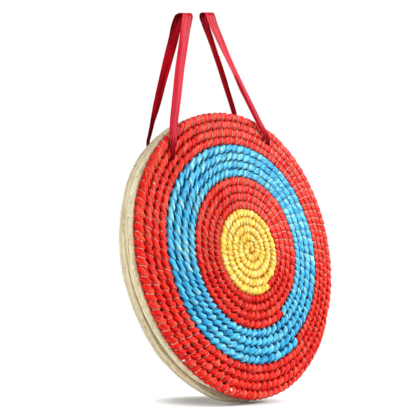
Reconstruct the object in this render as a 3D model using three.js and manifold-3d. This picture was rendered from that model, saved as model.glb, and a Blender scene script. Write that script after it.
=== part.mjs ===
// Round archery target boss, built as the real one is: three coiled straw mats, one behind
// another, tied through with cord, and two satin ribbon loops threaded through near the top
// to hang it by. The front mat's rope is wrapped in yellow, red, blue and red ribbon.
//
// Millimetres, +Z up. The origin is on the axis of the bar that the loops hang over, midway
// between them. The shooting face looks along -Y and the plain back along +Y.

import * as THREE from 'three';
import { mergeVertices } from 'three/addons/utils/BufferGeometryUtils.js';
import Module from 'manifold-3d';

const wasm = await Module();
wasm.setup();

const DEGREE = Math.PI / 180;
const FULL_TURN = 2 * Math.PI;

// Clearances
const seatGap = 0.3;            // left between pieces that touch
const cutOverrun = 5;           // a cutting tool runs this far past what it cuts

// Front mat: one rope, wrapped in four lengths of ribbon
const frontPitch = 14.7;        // centre to centre of neighbouring turns
const frontTurnGap = 0.5;       // open slit between neighbouring turns
const frontDepth = 16;          // rope thickness from crown to back
const frontFirstTurns = 0.15;   // the rope's inner end, in turns from the spiral's pole
const yellowTurns = 5.08;       // turns that each colour covers, yellow from the pole
const innerRedTurns = 4;
const blueTurns = 4;
const outerRedTurns = 4.07;
const tuckTurns = 0.18;         // the outer end thins over this much of a turn
const tuckWidthShare = 0.25;    // its width at the tip
const tuckDepthShare = 0.4;
const frontEndAngle = -48;      // degrees from +X, counter-clockwise seen from the front
const frontSteps = 22;

// The front mat is fuller on one side, where its rope was laid in looser
const fullnessRise = 8;         // at the outermost turn
const fullnessAngle = 145;
const fullnessSpread = 35;
const fullnessPower = 3;

// Middle mat: only its rim shows
const middleRadius = 251;
const middleDepth = 18.4;
const middleShiftX = -8;        // the mats were laid up by hand, a little off centre
const middleShiftZ = 8;
const middleSegments = 48;
const rimArcSteps = 5;

// Rear mat: plain straw rope, thicker than the front one
const rearPitch = 18.4;
const rearTurnGap = 0.6;
const rearDepth = 19;
const rearTurns = 14.05;
const rearFirstTurns = 0.15;
const rearEndAngle = -40;
const rearSteps = 20;
const rearFlatTurns = 8;        // flat-backed out to here, then drawn in towards the rim
const rearRimDraw = 1.5;

// Rope section: six sides, with a flat on its crown and on its back
const crownFlatShare = 0.27;    // half of the flat, of the rope's width
const halfShare = 0.5;
const eyeRadius = 1;            // the first turn is packed in to this, closing the mat's eye
const eyeEndSteps = 1.5;        // and ends this many steps short of a full turn

// Cord ties through all three mats
const tieCount = 6;
const tieCordDiameter = 1.8;
const tieKnotDiameter = 3.8;
const tieKnotLength = 2;
const tieKnotSink = 1.2;        // knots lie this far below the crowns
const tieGrooveTurns = 10;      // the groove that the ties pass through, from the pole
const tieFirstAngle = 20;
const tieSides = 8;

// Ribbon loops
const ribbonWidth = 25;
const ribbonThickness = 1;
const neckDiameter = 4;         // the ribbon bunched up where it goes through the mats
const neckClearance = 0.3;
const neckBend = 3;             // its bend out of the hole
const neckTuck = 1;             // the bend starts this far below the crowns
const barRadius = 5;            // the loops' folds fit a bar of this size
const barAboveCentre = 417;     // bar axis above the middle of the boss
const faceBehindBar = 24.5;     // crown plane of the face behind the bar's axis
const foldFromMiddle = 30;      // each fold's middle, either side of the boss's middle
const leftHoleLean = 35;        // holes' angles from the vertical, in degrees
const rightHoleLean = 37;
const holeTurnsIn = 1.5;        // the groove between the second and third turns from outside
const flareLength = 45;         // the ribbon opens out to its full width over this length
const rimBendPast = 7;          // the back leg lies flat until it is this far past the rim
const rimBendTurn = 8;          // and this many degrees nearer the top than its hole
const rimBendWidth = 13;
const backFaceLift = 1.1;       // middle of the back leg off the rear mat's crowns
const foldSteps = 8;
const bendSteps = 3;
const flareSteps = 3;
const neckSteps = 3;

// The section round which every ribbon station is built, from bunched to flat, as shares
// of the half width and the half thickness
const bunchedShares = [
  [0.924, 0.383], [0.383, 0.924], [-0.383, 0.924], [-0.924, 0.383],
  [-0.924, -0.383], [-0.383, -0.924], [0.383, -0.924], [0.924, -0.383],
];
const flatShares = [
  [1, 0.5], [0.6, 1], [-0.6, 1], [-1, 0.5],
  [-1, -0.5], [-0.6, -1], [0.6, -1], [1, -0.5],
];

const innerRedStart = yellowTurns;
const blueStart = innerRedStart + innerRedTurns;
const outerRedStart = blueStart + blueTurns;
const frontTurns = outerRedStart + outerRedTurns;
const frontWidth = frontPitch - frontTurnGap;
const rearWidth = rearPitch - rearTurnGap;
const middleFrontY = frontDepth + seatGap;
const middleBackY = middleFrontY + middleDepth;
const rearFrontY = middleBackY + seatGap;
const rearBackY = rearFrontY + rearDepth;

const material = (hex, roughness) =>
  new THREE.MeshStandardMaterial({ color: hex, roughness, metalness: 0 });

const wrapRoughness = 0.55;
const strawRoughness = 0.85;
const yellowWrap = () => material(0xf6cf46, wrapRoughness);
const redWrap = () => material(0xe42a26, wrapRoughness);
const blueWrap = () => material(0x3eade8, wrapRoughness);
const straw = () => material(0xd5c596, strawRoughness);
const cord = () => material(0x8a7a5c, strawRoughness);
const satin = () => material(0xbe1e35, wrapRoughness);

// Joining and cutting

function toSolid(geometry) {
  const bare = geometry.clone();
  bare.deleteAttribute('normal');
  bare.deleteAttribute('uv');
  const merged = mergeVertices(bare);
  return new wasm.Manifold(new wasm.Mesh({
    numProp: 3,
    vertProperties: new Float32Array(merged.attributes.position.array),
    triVerts: new Uint32Array(merged.index.array),
  }));
}

function fromSolid(solid) {
  const mesh = solid.getMesh();
  const geometry = new THREE.BufferGeometry();
  geometry.setAttribute('position', new THREE.BufferAttribute(mesh.vertProperties, 3));
  geometry.setIndex(new THREE.BufferAttribute(mesh.triVerts, 1));
  return geometry;
}

function cut(geometry, tools) {
  let solid = toSolid(geometry);
  for (const tool of tools) solid = solid.subtract(toSolid(tool));
  return fromSolid(solid);
}

// Rings of points, one after another, joined into one skin. An open run is capped at both
// ends, a closed one joins its last ring to its first.
function skin(rings, closed) {
  const sides = rings[0].length;
  const positions = rings.flat().flatMap((p) => [p.x, p.y, p.z]);
  const index = [];
  const runs = closed ? rings.length : rings.length - 1;
  for (let i = 0; i < runs; i++) {
    const a = i * sides;
    const b = ((i + 1) % rings.length) * sides;
    for (let j = 0; j < sides; j++) {
      const k = (j + 1) % sides;
      index.push(a + j, b + j, b + k, a + j, b + k, a + k);
    }
  }
  if (!closed) {
    const last = (rings.length - 1) * sides;
    for (let j = 1; j < sides - 1; j++) {
      index.push(0, j, j + 1);
      index.push(last, last + j + 1, last + j);
    }
  }
  const geometry = new THREE.BufferGeometry();
  geometry.setAttribute('position', new THREE.Float32BufferAttribute(positions, 3));
  geometry.setIndex(index);
  return geometry;
}

// Coiled rope

// The station nearest the rope's inner end, so that its first turn nests with its second
const onStation = (endTurn, steps, turns) =>
  endTurn - Math.floor((endTurn - turns) * steps) / steps;

// One coiled mat: radius, width and crown and back planes at any number of turns from the
// pole, and its stations, which all its turns share so that they nest
const frontMat = {
  steps: frontSteps,
  firstTurn: onStation(frontTurns, frontSteps, frontFirstTurns),
  endTurn: frontTurns,
  endAngle: frontEndAngle,
  radiusAt(turns) {
    const away = ((this.angleAt(turns) - fullnessAngle) % 360 + 540) % 360 - 180;
    const fullness = fullnessRise * (turns / frontTurns) ** fullnessPower;
    return frontPitch * turns + fullness * Math.exp(-((away / fullnessSpread) ** 2));
  },
  angleAt(turns) {
    return frontEndAngle + (turns - frontTurns) * 360;
  },
  sectionAt(turns) {
    const thinning = Math.max(0, 1 - (frontTurns - turns) / tuckTurns);
    const depth = frontDepth * (1 - thinning * (1 - tuckDepthShare));
    const slack = (frontDepth - depth) * halfShare;
    const inner = innerEdge(this, turns, frontWidth);
    const outer = this.radiusAt(turns) + frontWidth * (halfShare - thinning * (1 - tuckWidthShare));
    return { inner, outer, front: slack, back: slack + depth };
  },
};

const rearMat = {
  steps: rearSteps,
  firstTurn: onStation(rearTurns, rearSteps, rearFirstTurns),
  endTurn: rearTurns,
  endAngle: rearEndAngle,
  radiusAt(turns) {
    return rearPitch * turns;
  },
  angleAt(turns) {
    return rearEndAngle + (turns - rearTurns) * 360;
  },
  sectionAt(turns) {
    const thinning = Math.max(0, 1 - (rearTurns - turns) / tuckTurns);
    const depth = rearDepth * (1 - thinning * (1 - tuckDepthShare));
    const slack = (rearDepth - depth) * halfShare;
    const inner = innerEdge(this, turns, rearWidth);
    const outer = this.radiusAt(turns) + rearWidth * (halfShare - thinning * (1 - tuckWidthShare));
    const outward = Math.max(0, (turns - rearFlatTurns) / (rearTurns - rearFlatTurns));
    return {
      inner,
      outer,
      front: rearFrontY + slack,
      back: rearBackY - slack - rearRimDraw * outward,
    };
  },
};

// A turn's inner edge lies against the turn inside it, and the first turn's at the eye
function innerEdge(mat, turns, width) {
  const inFirstTurn = turns < mat.firstTurn + 1 - eyeEndSteps / mat.steps;
  return inFirstTurn ? eyeRadius : mat.radiusAt(turns) - width * halfShare;
}

const spoke = (radius, degrees, y) =>
  new THREE.Vector3(radius * Math.cos(degrees * DEGREE), y, radius * Math.sin(degrees * DEGREE));

// The six corners of the rope at a station
function ropeRing(mat, turns) {
  const { inner, outer, front, back } = mat.sectionAt(turns);
  const angle = mat.angleAt(turns);
  const middle = (inner + outer) * halfShare;
  const half = (outer - inner) * halfShare;
  const flat = (outer - inner) * crownFlatShare;
  const waist = (front + back) * halfShare;
  return [
    [half, waist], [flat, front], [-flat, front],
    [-half, waist], [-flat, back], [flat, back],
  ].map(([out, y]) => spoke(middle + out, angle, y));
}

// A ring at any number of turns lies on the straight run between two stations
function ringOnRun(mat, turns) {
  const before = mat.endTurn - Math.ceil((mat.endTurn - turns) * mat.steps) / mat.steps;
  const after = before + 1 / mat.steps;
  const share = (turns - before) * mat.steps;
  const from = ropeRing(mat, before);
  const to = ropeRing(mat, after);
  return from.map((p, i) => p.clone().lerp(to[i], share));
}

// A length of the mat's rope as one unbroken tube, from one turn count to another
function ropeLength(mat, from, to) {
  const rings = [from === mat.firstTurn ? ropeRing(mat, from) : ringOnRun(mat, from)];
  const first = Math.floor((mat.endTurn - from) * mat.steps);
  for (let i = first; i >= 0; i--) {
    const turns = mat.endTurn - i / mat.steps;
    if (turns > from && turns < to) rings.push(ropeRing(mat, turns));
  }
  rings.push(to >= mat.endTurn ? ropeRing(mat, mat.endTurn) : ringOnRun(mat, to));
  return rings;
}

// The middle of the straight run that a colour change falls in
function middleOfRun(mat, turns) {
  const runs = Math.round((mat.endTurn - turns) * mat.steps - halfShare) + halfShare;
  return mat.endTurn - runs / mat.steps;
}

// Half of the gap between two lengths that meet end to end, in turns
const endGapTurns = (mat, turns) => (seatGap * halfShare) / (FULL_TURN * mat.radiusAt(turns));

// The least gap between a tube's neighbouring turns, from its corners to its edges
function leastGap(rings, steps) {
  const edge = new THREE.Line3();
  const nearest = new THREE.Vector3();
  let least = Infinity;
  rings.forEach((ring, i) => {
    for (let j = i + steps - 3; j <= Math.min(i + steps + 1, rings.length - 2); j++) {
      for (let k = 0; k < ring.length; k++) {
        edge.set(rings[j][k], rings[j + 1][k]);
        for (const corner of ring) {
          edge.closestPointToPoint(corner, true, nearest);
          least = Math.min(least, nearest.distanceTo(corner));
        }
      }
    }
  });
  return least;
}

// The outermost turn count at an angle from the +X axis, and the mat's radius there
function outerTurnAt(mat, degrees) {
  const back = ((mat.endAngle - degrees) % 360 + 360) % 360;
  return mat.endTurn - back / 360;
}

const rimRadius = (mat, degrees) => mat.sectionAt(outerTurnAt(mat, degrees)).outer;

// The groove that lies the given number of turns inside the outermost turn, at an angle
function groovePlace(mat, turnsIn, degrees) {
  const groove = outerTurnAt(mat, degrees) - turnsIn;
  const before = mat.endTurn - Math.ceil((mat.endTurn - groove) * mat.steps) / mat.steps;
  const after = before + 1 / mat.steps;
  const between = (at) => {
    const inner = mat.radiusAt(at - halfShare);
    const outer = mat.radiusAt(at + halfShare);
    return spoke((inner + outer) * halfShare, mat.angleAt(at - halfShare), 0);
  };
  return between(before).lerp(between(after), (groove - before) * mat.steps);
}

// Ribbon loops

const round = (diameter, from, to, place, sides) =>
  new THREE.CylinderGeometry(diameter * halfShare, diameter * halfShare, to - from, sides)
    .translate(place.x, (from + to) * halfShare, place.z);

const leftHole = groovePlace(frontMat, holeTurnsIn, 90 + leftHoleLean);
const rightHole = groovePlace(frontMat, holeTurnsIn, 90 - rightHoleLean);

// Where a back leg bends over the rims of all three mats
function rimBendPlace(hole, side) {
  const degrees = Math.atan2(hole.z, hole.x) / DEGREE + side * rimBendTurn;
  const shift = new THREE.Vector3(middleShiftX, 0, middleShiftZ);
  const middleRim = middleRadius + shift.dot(spoke(1, degrees, 0));
  const rearRim = rimRadius(rearMat, degrees) + rimBendPast;
  const radius = Math.max(rearRim, middleRim, rimRadius(frontMat, degrees));
  return spoke(radius, degrees, rearBackY + backFaceLift);
}

const neckSides = 12;
const neckHole = (place) =>
  round(
    neckDiameter + 2 * neckClearance, -cutOverrun, rearBackY + cutOverrun, place, neckSides,
  );

// The loop's middle line as stations, once round: up the front leg, over the bar, down the
// back leg, over the rim and back through the mats. Each has its place, its width and
// thickness, and how flat it lies, from 0 where it is bunched to 1 where it is open.
function loopStations(hole, side) {
  const foldX = side * foldFromMiddle;
  const bar = new THREE.Vector3(foldX, -faceBehindBar, barAboveCentre);
  const turnRadius = barRadius + ribbonThickness * halfShare;
  const stations = [];
  const add = (place, width, thickness, flatness) =>
    stations.push({ place, width, thickness, flatness });

  // Out of the hole in the face
  for (let i = 0; i <= bendSteps; i++) {
    const a = (i / bendSteps) * 90 * DEGREE;
    const flatness = (i / bendSteps) * halfShare;
    const thickness = neckDiameter + (ribbonThickness - neckDiameter) * flatness;
    const place = new THREE.Vector3(
      hole.x,
      neckTuck - neckBend * Math.sin(a),
      hole.z + neckBend * (1 - Math.cos(a)),
    );
    add(place, neckDiameter + neckBend * flatness, thickness, flatness);
  }

  // Up the front leg
  const frontFoot = stations[stations.length - 1].place;
  const frontTop = new THREE.Vector3(foldX, bar.y - turnRadius, bar.z);
  const frontLength = frontTop.distanceTo(frontFoot);
  const footWidth = stations[stations.length - 1].width;
  for (let i = 1; i <= flareSteps; i++) {
    const open = i / flareSteps;
    const place = frontFoot.clone().lerp(frontTop, (flareLength / frontLength) * open);
    const thickness = ribbonThickness * (1 + (1 - open));
    add(place, footWidth + (ribbonWidth - footWidth) * open, thickness, halfShare + open / 2);
  }

  // Over the bar
  for (let i = 0; i <= foldSteps; i++) {
    const a = (i / foldSteps) * 180 * DEGREE;
    const place = new THREE.Vector3(
      foldX,
      bar.y - turnRadius * Math.cos(a),
      bar.z + turnRadius * Math.sin(a),
    );
    add(place, ribbonWidth, ribbonThickness, 1);
  }

  // Down the back leg to the rim
  const backTop = stations[stations.length - 1].place;
  const rimBend = rimBendPlace(hole, side);
  const backLength = backTop.distanceTo(rimBend);
  add(rimBend.clone().lerp(backTop, flareLength / backLength), ribbonWidth, ribbonThickness, 1);
  add(rimBend, rimBendWidth, ribbonThickness, 1);

  // Along the rear mat and into its hole
  const hem = new THREE.Vector3(hole.x, rearBackY - neckTuck + neckBend, hole.z + neckBend);
  const hemWidth = neckDiameter + neckBend * halfShare;
  const shelf = rimBend.clone().lerp(hem, halfShare);
  shelf.y = rimBend.y;
  add(shelf, (rimBendWidth + hemWidth) * halfShare, ribbonThickness, 1);
  for (let i = bendSteps; i >= 0; i--) {
    const a = (i / bendSteps) * 90 * DEGREE;
    const flatness = (i / bendSteps) * halfShare;
    const thickness = neckDiameter + (ribbonThickness - neckDiameter) * flatness;
    const place = new THREE.Vector3(
      hole.x,
      rearBackY - neckTuck + neckBend * Math.sin(a),
      hole.z + neckBend * (1 - Math.cos(a)),
    );
    add(place, neckDiameter + neckBend * flatness, thickness, flatness);
  }

  // Through the mats
  for (let i = 1; i < neckSteps; i++) {
    const y = rearBackY - neckTuck + (i / neckSteps) * (2 * neckTuck - rearBackY);
    add(new THREE.Vector3(hole.x, y, hole.z), neckDiameter, neckDiameter, 0);
  }
  return stations;
}

function ribbonLoop(hole, side) {
  const stations = loopStations(hole, side);
  const count = stations.length;
  const rings = stations.map((station, i) => {
    const before = stations[(i + count - 1) % count].place;
    const after = stations[(i + 1) % count].place;
    const into = station.place.clone().sub(before).setX(0).normalize();
    const away = after.clone().sub(station.place).setX(0).normalize();
    const along = into.add(away).normalize();
    const outward = new THREE.Vector3(0, -along.z, along.y);
    return bunchedShares.map(([x, t], j) => {
      const w = THREE.MathUtils.lerp(x, flatShares[j][0], station.flatness);
      const d = THREE.MathUtils.lerp(t, flatShares[j][1], station.flatness);
      return station.place.clone()
        .add(new THREE.Vector3(w * station.width * halfShare, 0, 0))
        .addScaledVector(outward, d * station.thickness * halfShare);
    });
  });
  return skin(rings, true);
}

// Cord ties

const tiePlaces = Array.from({ length: tieCount }, (_, i) => {
  const degrees = tieFirstAngle + (360 / tieCount) * i;
  const turnsAbove = outerTurnAt(frontMat, degrees) - tieGrooveTurns;
  return groovePlace(frontMat, Math.round(turnsAbove - halfShare) + halfShare, degrees);
});

function tieGeometry(place, growth) {
  const knot = tieKnotDiameter * halfShare + growth;
  const line = tieCordDiameter * halfShare + growth;
  const from = tieKnotSink - growth;
  const to = rearBackY - tieKnotSink + growth;
  const knotEnd = from + tieKnotLength + 2 * growth;
  const knotStart = to - tieKnotLength - 2 * growth;
  const outline = [
    [0, from], [knot, from], [knot, knotEnd], [line, knotEnd],
    [line, knotStart], [knot, knotStart], [knot, to], [0, to],
  ].map(([x, y]) => new THREE.Vector2(x, y));
  return new THREE.LatheGeometry(outline, tieSides).translate(place.x, 0, place.z);
}

// Mats

function middleGeometry() {
  const round = middleDepth * halfShare;
  const outline = [new THREE.Vector2(0, middleFrontY)];
  for (let i = 0; i <= rimArcSteps; i++) {
    const a = (i / rimArcSteps - halfShare) * 180 * DEGREE;
    outline.push(new THREE.Vector2(
      middleRadius - round + round * Math.cos(a),
      middleFrontY + round + round * Math.sin(a),
    ));
  }
  outline.push(new THREE.Vector2(0, middleBackY));
  return new THREE.LatheGeometry(outline, middleSegments)
    .translate(middleShiftX, 0, middleShiftZ);
}

const threadTools = [
  ...tiePlaces.map((spot) => tieGeometry(spot, seatGap)),
  neckHole(leftHole),
  neckHole(rightHole),
];

const yellowEnd = middleOfRun(frontMat, innerRedStart);
const innerRedEnd = middleOfRun(frontMat, blueStart);
const blueEnd = middleOfRun(frontMat, outerRedStart);

const boss = new THREE.Group();
boss.position.set(0, faceBehindBar, -barAboveCentre);

function place(name, geometry, finish) {
  const mesh = new THREE.Mesh(geometry, finish);
  mesh.name = name;
  boss.add(mesh);
  return mesh;
}

function placeRope(name, mat, from, to, finish) {
  const start = from === mat.firstTurn ? from : from + endGapTurns(mat, from);
  const end = to === mat.endTurn ? to : to - endGapTurns(mat, to);
  const rings = ropeLength(mat, start, end);
  console.log(`${name}: least gap between turns ${leastGap(rings, mat.steps).toFixed(3)} mm`);
  place(name, cut(skin(rings, false), threadTools), finish);
}

placeRope('yellow_centre_coil', frontMat, frontMat.firstTurn, yellowEnd, yellowWrap());
placeRope('inner_red_coil', frontMat, yellowEnd, innerRedEnd, redWrap());
placeRope('blue_coil', frontMat, innerRedEnd, blueEnd, blueWrap());
placeRope('outer_red_coil', frontMat, blueEnd, frontTurns, redWrap());
place('middle_straw_mat', cut(middleGeometry(), threadTools), straw());
placeRope('rear_straw_coil', rearMat, rearMat.firstTurn, rearTurns, straw());

tiePlaces.forEach((spot, i) => place(`mat_tie_${i + 1}`, tieGeometry(spot, 0), cord()));

place('ribbon_loop_left', ribbonLoop(leftHole, -1), satin());
place('ribbon_loop_right', ribbonLoop(rightHole, 1), satin());

export default boss;
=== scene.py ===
# %% [markdown]
# # A round straw archery boss with two ribbon loops
# The real object is three flat coils of straw rope, laid one behind another and laced
# together. The front coil's rope is wrapped in yellow, red, blue and red strip, and bound to
# itself with thin thread. Two satin ribbons are threaded through near the top to hang it by.
# This notebook dresses the imported model: every visible piece but the lacing ties is built
# here, in metres, in the model's own frame, with +Z up and the coloured face towards -Y.

# %% Load the imported model
import math

import bpy
import numpy as np
from mathutils import Matrix, Vector


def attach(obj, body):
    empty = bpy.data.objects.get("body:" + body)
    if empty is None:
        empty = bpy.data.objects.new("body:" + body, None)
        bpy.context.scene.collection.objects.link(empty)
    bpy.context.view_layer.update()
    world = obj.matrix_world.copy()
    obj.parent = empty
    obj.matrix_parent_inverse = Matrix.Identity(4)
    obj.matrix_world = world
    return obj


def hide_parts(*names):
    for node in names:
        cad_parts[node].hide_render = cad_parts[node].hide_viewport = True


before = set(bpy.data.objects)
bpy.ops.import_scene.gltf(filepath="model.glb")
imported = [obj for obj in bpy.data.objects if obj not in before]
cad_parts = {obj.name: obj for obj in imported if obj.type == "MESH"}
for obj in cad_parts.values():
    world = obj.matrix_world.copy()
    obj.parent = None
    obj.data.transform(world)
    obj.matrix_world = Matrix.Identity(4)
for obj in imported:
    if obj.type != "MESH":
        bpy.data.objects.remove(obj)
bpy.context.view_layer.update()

# %% [markdown]
# ## The camera
# A long-ish lens about 1.3 m away, to the left of the face and a little above its middle.
# The place and the turn were fitted to the outline of the boss and to its colour rings, so
# they are given as a point and two directions and not as angles.

# %% Camera
MM = 0.001
CAMERA_PLACE = Vector((-983.26, -802.15, -308.67)) * MM
CAMERA_RIGHT = Vector((0.64713, -0.71267, -0.27079)).normalized()
CAMERA_AHEAD = Vector((0.73772, 0.67497, -0.01342)).normalized()
FOCAL_PIXELS = 725.0
FRAME_PIXELS = 416.0
SENSOR = 36.0


def turned(right, ahead):
    """The rotation of something whose own X lies along right and whose -Z looks ahead."""
    back = -ahead
    right = (right - back * right.dot(back)).normalized()
    up = back.cross(right)
    return Matrix((right, up, back)).transposed().to_4x4()


camera_data = bpy.data.cameras.new("camera")
camera_data.lens = SENSOR * FOCAL_PIXELS / FRAME_PIXELS
camera_data.sensor_width = SENSOR
camera_data.clip_start = 0.05
camera_data.clip_end = 50.0
camera = bpy.data.objects.new("camera", camera_data)
camera.matrix_world = Matrix.Translation(CAMERA_PLACE) @ turned(CAMERA_RIGHT, CAMERA_AHEAD)
bpy.context.scene.collection.objects.link(camera)
bpy.context.scene.camera = camera
print("lens:", round(camera_data.lens, 2), "mm")

# %% [markdown]
# ## A mesh from a grid
# Most of the boss is long swept surfaces, each a section carried along a line. A curve with
# a bevel could make them, but a grid of points leaves the section free to change on its way,
# so one helper joins such a grid into a mesh. It also keeps a few numbers for every point,
# which the materials read back as attributes.

# %% Mesh helpers
DISC_CENTRE = Vector((0, 24.5, -417.0)) * MM


def new_thing(name, points, faces, attributes=None):
    """A smooth-shaded mesh object from lists of points and faces, with numbers per point."""
    mesh = bpy.data.meshes.new(name)
    mesh.from_pydata(points, [], faces)
    for key, values in (attributes or {}).items():
        layer = mesh.attributes.new(key, "FLOAT", "POINT")
        layer.data.foreach_set("value", np.ascontiguousarray(values, np.float32).ravel())
    mesh.polygons.foreach_set("use_smooth", [True] * len(mesh.polygons))
    mesh.update()
    thing = bpy.data.objects.new(name, mesh)
    bpy.context.scene.collection.objects.link(thing)
    return thing


def lay_grid(name, points, closed_u=False, closed_v=False, attributes=None, caps=False):
    """A mesh object from points[i, j], joined along both ways."""
    rows, columns = points.shape[:2]
    i = np.arange(rows if closed_u else rows - 1)
    j = np.arange(columns if closed_v else columns - 1)
    i, j = np.meshgrid(i, j, indexing="ij")
    k, m = (i + 1) % rows, (j + 1) % columns
    faces = np.stack([i * columns + j, i * columns + m, k * columns + m, k * columns + j], -1)
    faces = faces.reshape(-1, 4).tolist()
    if caps:
        faces.append(list(range(columns)))
        faces.append([(rows - 1) * columns + c for c in reversed(range(columns))])
    return new_thing(name, points.reshape(-1, 3).tolist(), faces, attributes)


def ring_points(radius, angle, level, shift=(0.0, 0.0)):
    """Millimetres on a coil and an angle in radians, as points in the boss's frame."""
    return np.stack(
        [
            (radius * np.cos(angle) + shift[0]) * MM + DISC_CENTRE.x,
            level * MM + DISC_CENTRE.y,
            (radius * np.sin(angle) + shift[1]) * MM + DISC_CENTRE.z,
        ],
        -1,
    )


def fades(distance, spread):
    """1 where the distance is nothing, and almost nothing beyond twice the spread."""
    return np.exp(-((distance / spread) ** 2))


print("disc centre:", [round(x, 4) for x in DISC_CENTRE])

# %% [markdown]
# ## Finishes from nodes
# Each finish could be painted as a picture, but a coil has no good way to lie flat under
# one. So noise is stretched over the numbers that each point keeps, and gives the colour,
# the roughness and the bump. These helpers add and join nodes, so that each finish further
# on is only a few lines.

# %% Node helpers
WHITE = (1.0, 1.0, 1.0, 1.0)


def feed(socket, value):
    """Joins a socket to another one, or sets it to a number or a colour."""
    if isinstance(value, bpy.types.NodeSocket):
        socket.id_data.links.new(value, socket)
    else:
        socket.default_value = value


def node_adder(tree):
    """A function that adds a node to this tree, with its settings and its inputs."""
    def add(kind, inputs=None, **settings):
        node = tree.nodes.new(kind)
        for key, value in settings.items():
            setattr(node, key, value)
        for key, value in (inputs or {}).items():
            feed(node.inputs[key], value)
        return node

    return add


def finish_nodes(name):
    """A new material, its Principled shader and a function that adds nodes to it."""
    material = bpy.data.materials.new(name)
    material.use_nodes = True
    tree = material.node_tree
    return material, tree.nodes["Principled BSDF"], node_adder(tree)


def finish_surface(shader, add, colour, roughness, height, strength, distance):
    """Gives a shader its colour, its roughness and a bump that is distance metres deep."""
    bump = add("ShaderNodeBump", {"Height": height, "Strength": strength, "Distance": distance})
    feed(shader.inputs["Base Color"], colour)
    feed(shader.inputs["Roughness"], roughness)
    feed(shader.inputs["Normal"], bump.outputs[0])


def paint(red, green, blue):
    """A colour as seen on a screen, 0 to 255, as the linear colour that a shader takes."""
    def linear(c):
        c /= 255
        return c / 12.92 if c <= 0.04045 else ((c + 0.055) / 1.055) ** 2.4
    return (linear(red), linear(green), linear(blue), 1.0)


print("mid grey, 128 of 255, is", round(paint(128, 128, 128)[0], 3), "in linear light")

# %% Sums, colours and noise
# Noise lies mostly between these two
NOISE_LOW, NOISE_HIGH = 0.35, 0.65


def attribute(add, name):
    """One number of the mesh's own, as a socket."""
    return add("ShaderNodeAttribute", attribute_name=name).outputs["Fac"]


def worked_out(add, operation, first, second=0.0):
    """One sum on two numbers or sockets."""
    return add("ShaderNodeMath", {0: first, 1: second}, operation=operation).outputs[0]


def weighed(add, start, *parts):
    """start plus each part's socket times its weight."""
    total = start
    for socket, weight in parts:
        sum_node = add("ShaderNodeMath", {0: socket, 1: weight, 2: total}, operation="MULTIPLY_ADD")
        total = sum_node.outputs[0]
    return total


def carried(add, value, low, high, at_low, at_high):
    """A number carried from one range into another, and held at the ends."""
    return add("ShaderNodeMapRange", {
        "Value": value, "From Min": low, "From Max": high,
        "To Min": at_low, "To Max": at_high}).outputs[0]


def ramp(add, factor, stops):
    """A colour ramp through stops, each a place from 0 to 1 and a colour."""
    node = add("ShaderNodeValToRGB", {"Fac": factor})
    while len(node.color_ramp.elements) < len(stops):
        node.color_ramp.elements.new(0.5)
    for element, (place, colour) in zip(node.color_ramp.elements, stops):
        element.position = place
        element.color = colour
    return node.outputs["Color"]


def blend_colours(add, how, share, below, above):
    """Two colours mixed, by a share that is a number or a socket."""
    mixed = add(
        "ShaderNodeMix", {0: share, 6: below, 7: above}, data_type="RGBA", blend_type=how)
    return mixed.outputs[2]


def noise(add, place, stretch, detail=2.0, roughness=0.6):
    """Noise over places in metres. stretch is how many grains lie in a metre, each way."""
    grains = add("ShaderNodeMapping", {"Vector": place, "Scale": stretch}).outputs[0]
    return add("ShaderNodeTexNoise", {
        "Vector": grains, "Scale": 1.0, "Detail": detail, "Roughness": roughness}).outputs["Fac"]


def uneven_gloss(add, grain, smooth, dull):
    """A roughness that goes from smooth to dull with a noise."""
    return carried(add, grain, NOISE_LOW, NOISE_HIGH, smooth, dull)


def rope_place(add):
    """The point's place on a rope: along the lay of its wrap, round it, and which pillow."""
    return add("ShaderNodeCombineXYZ", {
        "X": attribute(add, "lay"), "Y": attribute(add, "girth"),
        "Z": attribute(add, "tone")}).outputs[0]


def backdrop_rays(add):
    """1 for the rays that see the white background: the camera's, gloss's and glass's."""
    ray = add("ShaderNodeLightPath").outputs
    either = worked_out(add, "MAXIMUM", ray["Is Glossy Ray"], ray["Is Transmission Ray"])
    return worked_out(add, "MAXIMUM", ray["Is Camera Ray"], either)


print("noise is read from", NOISE_LOW, "to", NOISE_HIGH)

# %% [markdown]
# ## Light
# Plain studio light. An even surround fills the shadows. The main lamp stands in front and
# to the right, over 4 m off, so that it fades little across the disc. A weaker one is far
# round to the left, and a third lights the plain back. The white background could be a lit
# wall, but its light would fall on the boss too. Here only the rays that should see it do.

# %% Surround and lamps
SURROUND_STRENGTH = 0.33
# Which way each lamp stands from the middle of the face, its distance and size in metres,
# and its level, where 1 lights a white surface that looks at it to white
LAMPS = {
    "key_lamp": ((0.8, -0.62, 0.14), 4.2, 1.22, 1.42),
    "fill_lamp": ((-0.97, -0.22, 0.28), 2.0, 0.9, 0.68),
    "back_lamp": ((0.3, 0.9, 0.15), 2.0, 1.2, 0.5),
}

bpy.context.scene.view_settings.view_transform = "Standard"
world = bpy.data.worlds.new("studio")
world.use_nodes = True
bpy.context.scene.world = world
add = node_adder(world.node_tree)
surround = world.node_tree.nodes["Background"]
feed(surround.inputs["Color"], WHITE)
feed(surround.inputs["Strength"], SURROUND_STRENGTH)
seen = add("ShaderNodeBackground", {"Color": WHITE})
chosen = add("ShaderNodeMixShader", {
    0: backdrop_rays(add), 1: surround.outputs[0], 2: seen.outputs[0]})
feed(world.node_tree.nodes["World Output"].inputs["Surface"], chosen.outputs[0])


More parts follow.
